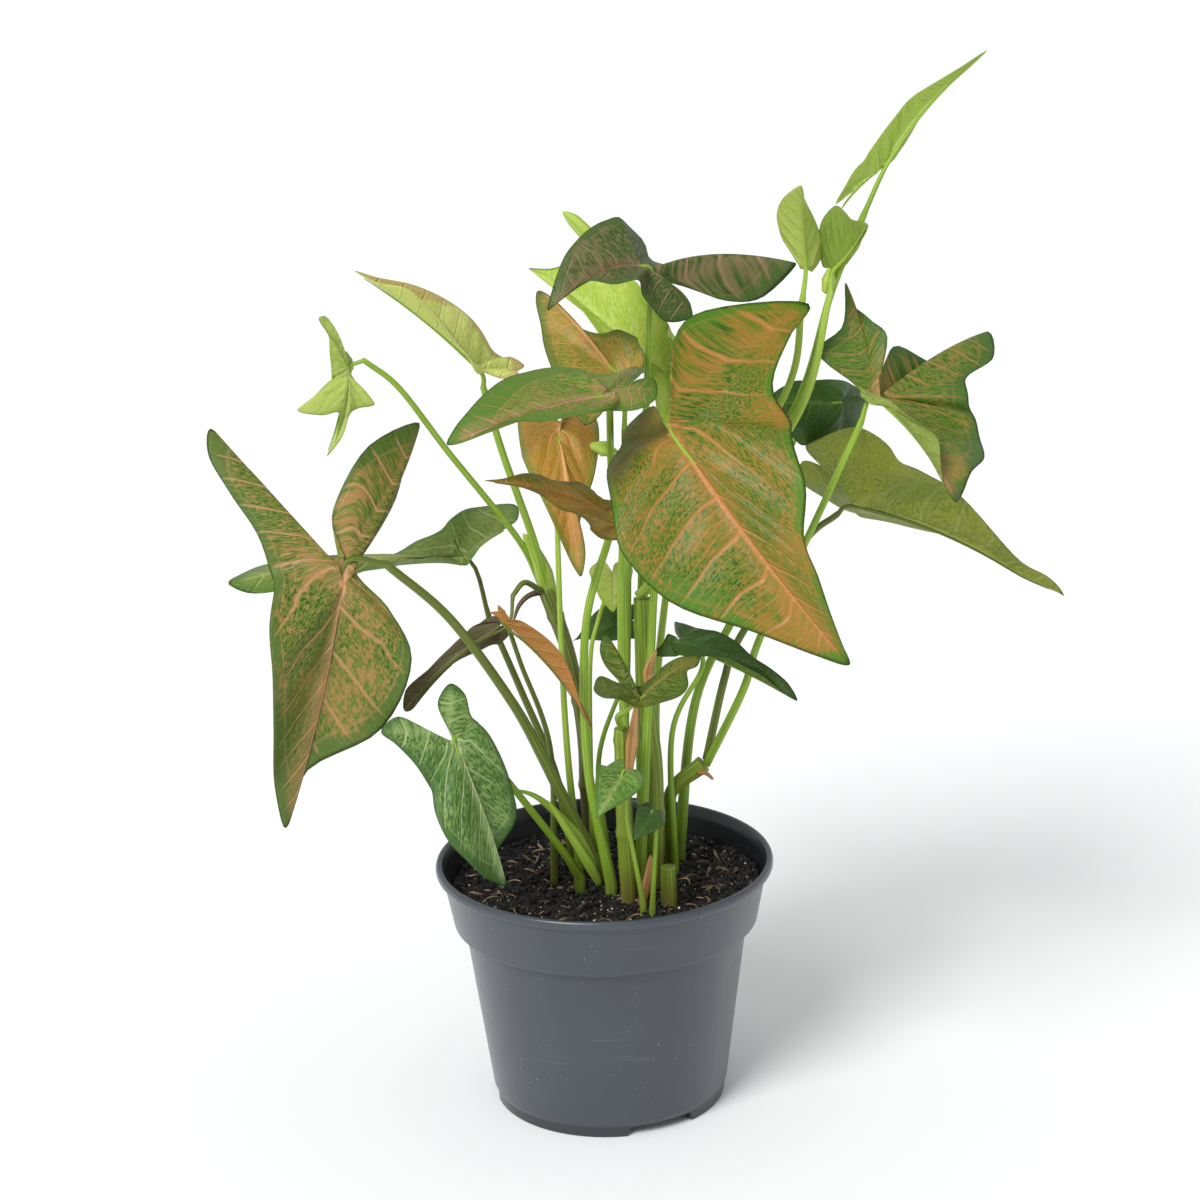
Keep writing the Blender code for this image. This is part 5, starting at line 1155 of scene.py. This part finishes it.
SPOKES = 128
ROWS = 30
HEART_REACH = 0.03  # where the rings start, as a share of the way to the margin
STEP = 1e-3
QUILT = 0.0045  # how far a blade puffs up between its veins, as a share of its length
RIB_PLACES = 14
RIB_REACH = 0.92
RIB_GAP = 0.25 * MM
PETIOLE_SIDES = 14
PETIOLE_GROOVE = 0.22
PETIOLE_WIDE = 1.22
PETIOLE_TAPER = 0.3
FOOT_SWELL = 0.7  # how far a petiole swells at the soil, as a share of its girth
FOOT_FADE = 0.16  # how soon the swelling fades, as a share of the petiole's length
RIB_START = 0.72  # the midrib's radius beneath the blade's start, as a share of the girth
RIB_END = 0.16  # and at its end, in millimetres


def add_blade(leaf, tones, slot):
    """A leaf's blade, as rings from the upper face's heart out to the margin and back beneath:
    blade_points moved along the surface's normal by half the thickness, which rounds off at the
    margin, and by a quilting that waves as cos(2 pi * VEINS * run) from vein to vein."""
    length = np.linalg.norm(np.array(leaf.tip) - leaf.joint) * MM
    turn, reach = np.meshgrid(np.arange(SPOKES) / SPOKES, np.linspace(HEART_REACH, 1, ROWS))
    points, flat = blade_points(leaf, turn, reach)
    after, before = (blade_points(leaf, (turn + step) % 1, reach)[0] for step in (STEP, -STEP))
    inward = blade_points(leaf, turn, reach * (1 - STEP))[0]
    normal = unit(np.cross(after - before, points - inward))
    side = abs(flat[..., 1])
    run = flat[..., 0] - SWEEP * side - SWEEP_CURVE * side**2
    quilt = np.cos(math.tau * VEINS * run) * ease(side, 0.02, 0.12) * (1 - ease(reach, 0.75, 0.97))
    quilt = quilt * ease(flat[..., 0], -0.1, 0.1) * (1 - ease(flat[..., 0], 0.75, 0.95))
    points = points - normal * (quilt * QUILT * length)[..., None]
    half = BLADE_THICKNESS / 2 * np.sqrt(1 - reach**4)[..., None]
    rings = np.concatenate([points + normal * half, (points - normal * half)[-2::-1]])
    chart = flat / CHART_SPAN + 0.5
    chart = np.concatenate([chart, chart[:, :1]], 1)
    chart = np.concatenate([chart, chart[-2::-1]])
    skins = blade_skins(leaf.name, leaf.kind, tones, length)
    blade = ringed("blade_" + leaf.name, rings, chart, skins, ROWS - 1)
    out = np.concatenate([reach.ravel(), reach[-2::-1].ravel(), [0, 0]])
    layer = blade.data.attributes.new("reach", "FLOAT", "POINT")
    layer.data.foreach_set("value", out.astype(np.float32))
    take_place(blade, "leaf_" + leaf.name)


def add_petiole(leaf, skin):
    """A leaf's petiole, which runs on under the blade as a tapering midrib."""
    under = facing(leaf) * (BLADE_THICKNESS / 2 + RIB_GAP)
    reach = np.linspace(0.0, RIB_REACH, RIB_PLACES)
    rib, _ = blade_points(leaf, np.full(RIB_PLACES, 0.5), reach)
    way = stalk(leaf.petiole)
    bend = smooth_path([way[-1], np.array(leaf.joint) * MM - under, rib[2] - under], 5)
    path = np.vstack([way[:-1], bend, (rib - under)[3:]])
    share = np.linspace(0, 1, len(way))
    in_soil = len(leaf.petiole[0]) == 2
    foot = np.exp(-share / FOOT_FADE) * FOOT_SWELL if in_soil else 0 * share
    radius = leaf.girth * MM * (PETIOLE_WIDE - PETIOLE_TAPER * share + foot)
    thin = np.linspace(RIB_START * leaf.girth, RIB_END, len(path) - len(way)) * MM
    radius = np.concatenate([radius, thin])
    rings, chart = rod(path, radius, PETIOLE_SIDES, groove=PETIOLE_GROOVE)
    take_place(ringed("petiole_" + leaf.name, rings, chart, [skin]), "leaf_" + leaf.name)


GREEN_STALK = stalk_skin("green_stalk", (128, 160, 41), (156, 191, 61), (104, 141, 34))
PALE_STALK = stalk_skin("pale_stalk", (149, 175, 58), (173, 200, 77), (121, 154, 43))
OLIVE_STALK = stalk_skin("olive_stalk", (109, 123, 41), (104, 119, 43), (78, 88, 31))

# The tones of the leaves: the large and the dark, then the young, the faded and the small
TAN = Tones(
    (146, 112, 38), (92, 116, 20), (42, 80, 12), (188, 128, 72), (72, 118, 22), (128, 146, 56),
    0.58, 0.95, 0.85, 0.08)
BRONZE = Tones(
    (156, 124, 70), (98, 118, 40), (46, 76, 20), (204, 152, 108), (80, 108, 42), (120, 132, 56),
    0.68, 0.95)
SHELF = Tones(
    (150, 124, 74), (104, 136, 40), (48, 86, 18), (206, 154, 114), (80, 122, 36), (110, 140, 50),
    0.65, 0.8, 0.8, 0.26)
# The crown's tones are partly its own colour and partly painted shade, for its far lobe that lies in
# shade; its underside tone is darkest as painted shade
CROWN = Tones(
    (112, 104, 66), (68, 92, 34), (40, 64, 18), (164, 126, 96), (68, 96, 36), (62, 84, 26),
    0.55, 0.8, 0.7)
OLIVE = Tones(
    (166, 134, 54), (126, 138, 38), (82, 98, 26), (216, 160, 98), (92, 112, 38), (134, 142, 54),
    0.5, 0.7)
GREEN = Tones(
    (130, 116, 52), (88, 118, 34), (42, 76, 16), (188, 134, 84), (62, 100, 30), (140, 160, 74),
    0.65, 0.8, 0.8)
BACK = Tones(
    (118, 132, 62), (92, 122, 44), (62, 94, 30), (178, 186, 112), (86, 120, 44), (134, 152, 70),
    0.5, 0.6, 0.6)
# The shaded leaf's dark green is partly its own colour and partly painted shade, for an upper face that
# lies in shade
SHADE = Tones(
    (64, 98, 28), (48, 82, 22), (34, 60, 16), (104, 138, 60), (58, 92, 28), (100, 136, 42),
    0.5, 0.5, 0.5)
DARK = Tones(
    (62, 94, 32), (54, 84, 32), (38, 62, 22), (116, 142, 78), (56, 86, 32), (104, 128, 52),
    0.5, 0.5, 0.5)
SILVER = Tones(
    (120, 148, 78), (76, 114, 44), (46, 80, 30), (182, 198, 142), (62, 98, 38), (130, 152, 82),
    0.55, 0.9, 0.85)
PALE_UNDER = Tones(
    (176, 136, 66), (94, 116, 30), (66, 94, 20), (196, 160, 92), (112, 132, 42), (134, 150, 50),
    0.95, 0.95)
PEACH = Tones(
    (184, 130, 56), (150, 132, 38), (140, 102, 36), (226, 170, 112), (120, 132, 44), (176, 134, 62),
    0.4, 0.5)
AMBER = Tones(
    (182, 130, 56), (138, 132, 44), (102, 94, 28), (216, 156, 88), (100, 104, 34), (148, 130, 50),
    0.5, 0.7)
LIME = Tones(
    (196, 214, 98), (178, 202, 80), (138, 170, 52), (218, 228, 152), (160, 188, 66), (174, 194, 84),
    0.5, 0.5, 0.6)
FURLED = Tones(
    (214, 220, 130), (196, 212, 104), (156, 180, 66), (212, 200, 128), (196, 164, 104), (198, 208, 112),
    0.5, 0.4, 0.5)
SPROUT = Tones(
    (156, 184, 78), (130, 160, 56), (104, 136, 42), (200, 212, 130), (140, 168, 64), (142, 166, 64),
    0.5, 0.6, 0.6)
SPOON = Tones(
    (132, 160, 60), (106, 136, 42), (76, 108, 28), (188, 202, 116), (112, 142, 50), (128, 154, 58),
    0.5, 0.7, 0.6)
CREAM = Tones(
    (180, 196, 98), (158, 182, 76), (134, 162, 58), (212, 220, 150), (150, 176, 72), (172, 188, 90),
    0.5, 0.5, 0.6)
WITHERED = Tones(
    (172, 116, 52), (146, 100, 38), (98, 64, 26), (196, 146, 86), (140, 96, 44), (166, 114, 54),
    0.5, 0.6, 0.5)
FADED = Tones(
    (98, 88, 58), (74, 76, 44), (54, 50, 32), (124, 110, 78), (70, 66, 42), (104, 94, 64),
    0.5, 0.6, 0.5)
BASAL = Tones(
    (122, 156, 72), (86, 126, 46), (58, 94, 32), (192, 202, 134), (80, 120, 46), (140, 164, 84),
    0.5, 0.7)
CUP = Tones(
    (110, 116, 42), (76, 104, 30), (48, 74, 20), (154, 138, 72), (74, 102, 32), (106, 114, 42),
    0.5, 0.7, 0.5)

# Every leaf: its tones, its petiole's skin, and its places
LEAVES = (
    (TAN, GREEN_STALK, Leaf(
        "front", "arrow", (25, -48, 257), (79, -86, 187), (61, -17, 289), (16, -22, 270),
        ((12, -14), (17, -9, 153), (21, -8, 204), (28, -14, 246), (31, -30, 267)),
        bow=0.10, fold=16, roll=22, ripple=1.6)),
    (BRONZE, OLIVE_STALK, Leaf(
        "left_hanging", "eared", (-83, -30, 209), (-106, -48, 122), (-61, 2, 247), (-124, -16, 249),
        ((-2, -3), (-20, -8, 129), (-31, -14, 154), (-50, -22, 186), (-70, -27, 207)),
        girth=1.7, bow=0.10, fold=16, roll=-12, ripple=1.5)),
    (SILVER, GREEN_STALK, Leaf(
        "rim", "petal", (-49, -42, 150), (-35, -44, 96), (-50, -31, 163), (-70, -47, 157),
        ((-9, -7), (-15, -14, 98), (-30, -26, 125), (-42, -34, 145)),
        fold=8, bow=0.08)),
    (BACK, OLIVE_STALK, Leaf(
        "left_back", "petal", (-44, 12, 197), (-125, -9, 197), (-23, 3, 203), (-26, 43, 208),
        ((-11, 13), (-17, 14, 117), (-28, 14, 148), (-38, 13, 175)),
        bow=0.10, fold=14, width=0.9)),
    (FADED, OLIVE_STALK, Leaf(
        "drooping", "young", (-31, 0, 177), (-67, -26, 156), (-25, 0, 182), (-25, 5, 174),
        ((-19.7, 15.1, 183.9), (-25, 8, 189), (-29, 3, 186)),
        girth=1.0, width=0.7, fold=25, ripple=1.2)),
    (WITHERED, OLIVE_STALK, Leaf(
        "withered", "young", (-32, -18, 183), (-3, -27, 147), (-36, -14, 186), (-34, -20, 189),
        ((-18, 3), (-18, 2, 130), (-27, -8, 165), (-32, -16, 186)),
        girth=0.9, width=0.75, fold=24, curl=20, ripple=1.0)),
    (FURLED, GREEN_STALK, Leaf(
        "furled_left", "young", (-36, -10, 268), (-74, -33, 307), (-24, -11, 266), (-25, 5, 267),
        ((-17.6, 17.1, 184.6), (-22, 12, 205), (-31, 2, 238), (-36, -7, 262)),
        fold=25, curl=20, ripple=0.8, bow=0.06)),
    (CREAM, GREEN_STALK, Leaf(
        "nodding", "kite", (-80, -16, 272), (-88, -26, 246), (-78, -10, 277), (-91, -22, 289),
        ((-19.5, 20.2, 184.3), (-27, 15, 203), (-49, 1, 238), (-64, -9, 263), (-75, -14, 274)),
        girth=1.1, fold=20, ripple=0.8)),
    (SHELF, GREEN_STALK, Leaf(
        "shelf", "arrow", (7, -54, 269), (-44, -84, 261), (16, -48, 258), (20, -25, 270),
        ((2, -14), (-5, -14, 130), (-4, -13, 180), (6, -11, 215), (6, -13, 236), (6, -44, 264)),
        bow=0.12, width=0.85, fold=14, roll=-14)),
    (OLIVE, GREEN_STALK, Leaf(
        "olive", "arrow", (11, -2, 261), (-16, 30, 285), (1, -22, 255), (21, -8, 265),
        ((7, 4), (8, 4, 125), (10, 4, 166), (11, 3, 200), (11, 0, 244)),
        fold=18)),
    (CROWN, GREEN_STALK, Leaf(
        "crown", "arrow", (21, 0, 300), (-14, -16, 291), (36, -4, 285), (62, 14, 292),
        ((14, 12), (14, 12, 144), (16, 11, 195), (18, 6, 240), (21, 3, 290)),
        bow=0.25, fold=0, roll=-16)),
    (LIME, PALE_STALK, Leaf(
        "lime", "arrow", (32, 26, 253), (-19, 62, 288), (24, 4, 241), (43, 6, 260),
        ((20, 20), (20, 24, 139), (26, 28, 189), (31, 27, 233)),
        fold=12)),
    (PEACH, PALE_STALK, Leaf(
        "peach", "arrow", (-12, 14, 242), (-4, -22, 199), (-2, 36, 245), (-27, 34, 244),
        ((-9, 4), (-12, 5, 127), (-13, 8, 169), (-13, 18, 216), (-12, 18, 236)),
        girth=1.0, width=0.8, fold=14)),
    (AMBER, GREEN_STALK, Leaf(
        "amber", "arrow", (8, -34, 222), (-36, -58, 242), (15, -34, 214), (19, -22, 217),
        ((9, -9), (8, -10, 150), (8, -20, 188), (9, -31, 214)),
        width=0.7, fold=14)),
    (GREEN, GREEN_STALK, Leaf(
        "right", "halberd", (94, -12, 257), (117, -56, 233), (136, 24, 268), (87, 4, 290),
        ((36.9, 4.4, 121.35), (50, 0, 150), (56, -3, 170), (73, -14, 211), (90, -14, 248)),
        fold=14)),
    (SHADE, GREEN_STALK, Leaf(
        "right_shade", "arrow", (86, 16, 248), (52, 2, 250), (95, 25, 232), (97, 32, 253),
        ((27, 17), (34, 17, 141), (52, 18, 180), (62, 26, 214), (74, 29, 238), (84, 22, 247)),
        fold=20)),
    (PALE_UNDER, OLIVE_STALK, Leaf(
        "lower_right", "arrow", (90, 22, 210), (165, 23, 174), (73, 37, 219), (74, 7, 233),
        ((37.1, 8.4, 121.7), (44, 10, 151), (50, 12, 166), (73, 18, 198), (85, 21, 207)),
        fold=14, hook=0.04)),
    (SPROUT, GREEN_STALK, Leaf(
        "furled_top", "young", (97, -14, 332), (131, -10, 369), (92, -9, 323), (87, -19, 328),
        ((18, 4, 186), (36, 4, 205), (68, -3, 250), (81, -8, 292), (91, -12, 317)),
        width=0.7, fold=30, curl=30, ripple=0.6)),
    (CREAM, PALE_STALK, Leaf(
        "spoon_left", "young", (72, -12, 299), (70, -30, 330), (77, -8, 297), (68, -8, 297),
        ((14, -1, 186), (32, -4, 206), (65, -8, 257), (71, -11, 290)),
        fold=20, curl=20, width=1.1, ripple=0.5)),
    (SPOON, PALE_STALK, Leaf(
        "spoon_right", "young", (81, -14, 299), (90, -33, 319), (81, -13, 293), (77, -8, 299),
        ((16, 1, 186), (39, 0, 205), (70, -10, 252), (80, -13, 292)),
        fold=20, curl=20, width=1.2, ripple=0.5)),
    (CUP, GREEN_STALK, Leaf(
        "boat", "arrow", (12, -50, 164), (37, -36, 170), (0, -40, 180), (-1, -62, 178),
        ((7, -24, 146.1), (6, -36, 154), (9, -47, 160)),
        girth=1.0, fold=25, ripple=0.8)),
    (DARK, GREEN_STALK, Leaf(
        "dark_right", "young", (26, -4, 170), (67, -29, 156), (19, 9, 173), (20, -1, 164),
        ((25, 2), (25, 2, 134), (36, 2, 158), (33, -2, 169)),
        girth=0.9, fold=18, width=0.75)),
    (DARK, GREEN_STALK, Leaf(
        "dark_back", "arrow", (11, 20, 170), (-9, 15, 165), (20, 20, 166), (19, 29, 173),
        ((1, 14), (-1, 14, 121), (9, 22, 148)),
        girth=0.9, fold=14, ripple=0.8)),
    (LIME, PALE_STALK, Leaf(
        "chartreuse", "arrow", (6, 23, 187), (6, 6, 178), (12, 31, 189), (0, 31, 189),
        ((-4, 10), (-4, 10, 118), (-3, 5, 160), (0, 8, 174), (4, 19, 182)),
        girth=0.8, fold=14, ripple=0.5)),
    (BASAL, PALE_STALK, Leaf(
        "basal", "spade", (8, -40, 136), (-2, -58, 126), (14, -36, 133), (6, -32, 137),
        ((13, -32), (8, -34, 116)),
        girth=0.8, fold=14, ripple=0.5)),
    (DARK, GREEN_STALK, Leaf(
        "basal_dark", "spade", (17, -44, 123), (10, -56, 117), (21, -40, 120), (15, -39, 124),
        ((16, -37), (18, -38, 114)),
        girth=0.8, fold=14, ripple=0.3)),
)
YOUNG = (LIME, SPROUT, SPOON, CREAM, FURLED)
for tones, petiole_skin, leaf in LEAVES:
    add_blade(leaf, tones, "young_leaf" if tones in YOUNG else "leaf")
    add_petiole(leaf, petiole_skin)


# The studio: a pale seamless floor, one wide soft light from the front left and above, and a
# white room round it. The camera looks 17 degrees down, from about a metre.

FLOOR_HALF = 6.0
SUN_WAY = (0.50, 0.78, -0.85)
SUN_STRENGTH = 2.4
SUN_WIDTH = math.radians(26)
ROOM_COLOUR = (0.97, 0.985, 1.0, 1)
ROOM_STRENGTH = 0.60
CAMERA_PLACE = (0.0011, -0.9571, 0.4741)
CAMERA_PITCH = math.radians(16.84)
CAMERA_ROLL = math.radians(-1.64)
LENS = 86.8  # in millimetres


def floor_paper():
    """Near-white paper, barely clouded."""
    made, shader, place, _ = new_material("floor_paper", 0.8)
    feed(shader, place.noise(3, 2).blend((250, 250, 250), (252, 252, 252)))
    return made


def turn_to(thing, direction, up=(0, 0, 1)):
    """Turns a camera or light so that it looks along direction, with up at the picture's top."""
    back = -unit(np.array(direction, float))
    across = unit(np.cross(up, back))
    axes = np.stack([across, np.cross(back, across), back], 1)
    rows = [[*row, place] for row, place in zip(axes, thing.location)]
    thing.matrix_world = Matrix([*rows, [0, 0, 0, 1]])


floor_mesh = bpy.data.meshes.new("floor")
floor_corners = [(x * FLOOR_HALF, y * FLOOR_HALF, 0) for x, y in ((-1, -1), (1, -1), (1, 1), (-1, 1))]
floor_mesh.from_pydata(floor_corners, [], [(0, 1, 2, 3)])
floor_mesh.materials.append(floor_paper())
placed("floor", floor_mesh)

sun = bpy.data.lights.new("key", "SUN")
sun.energy = SUN_STRENGTH
sun.angle = SUN_WIDTH
turn_to(placed("key", sun), SUN_WAY)
room = bpy.data.worlds.new("white_room")
room.use_nodes = True
room.node_tree.nodes["Background"].inputs["Color"].default_value = ROOM_COLOUR
room.node_tree.nodes["Background"].inputs["Strength"].default_value = ROOM_STRENGTH
bpy.context.scene.world = room
bpy.context.scene.view_settings.view_transform = "Standard"

camera_data = bpy.data.cameras.new("camera")
camera_data.lens = LENS
camera = placed("camera", camera_data)
camera.location = CAMERA_PLACE
LEVEL_UP = np.array([0, math.sin(CAMERA_PITCH), math.cos(CAMERA_PITCH)])
LOOK = (0, math.cos(CAMERA_PITCH), -math.sin(CAMERA_PITCH))
ACROSS = np.array([1, 0, 0])
turn_to(camera, LOOK, LEVEL_UP * math.cos(CAMERA_ROLL) - ACROSS * math.sin(CAMERA_ROLL))
bpy.context.scene.camera = camera
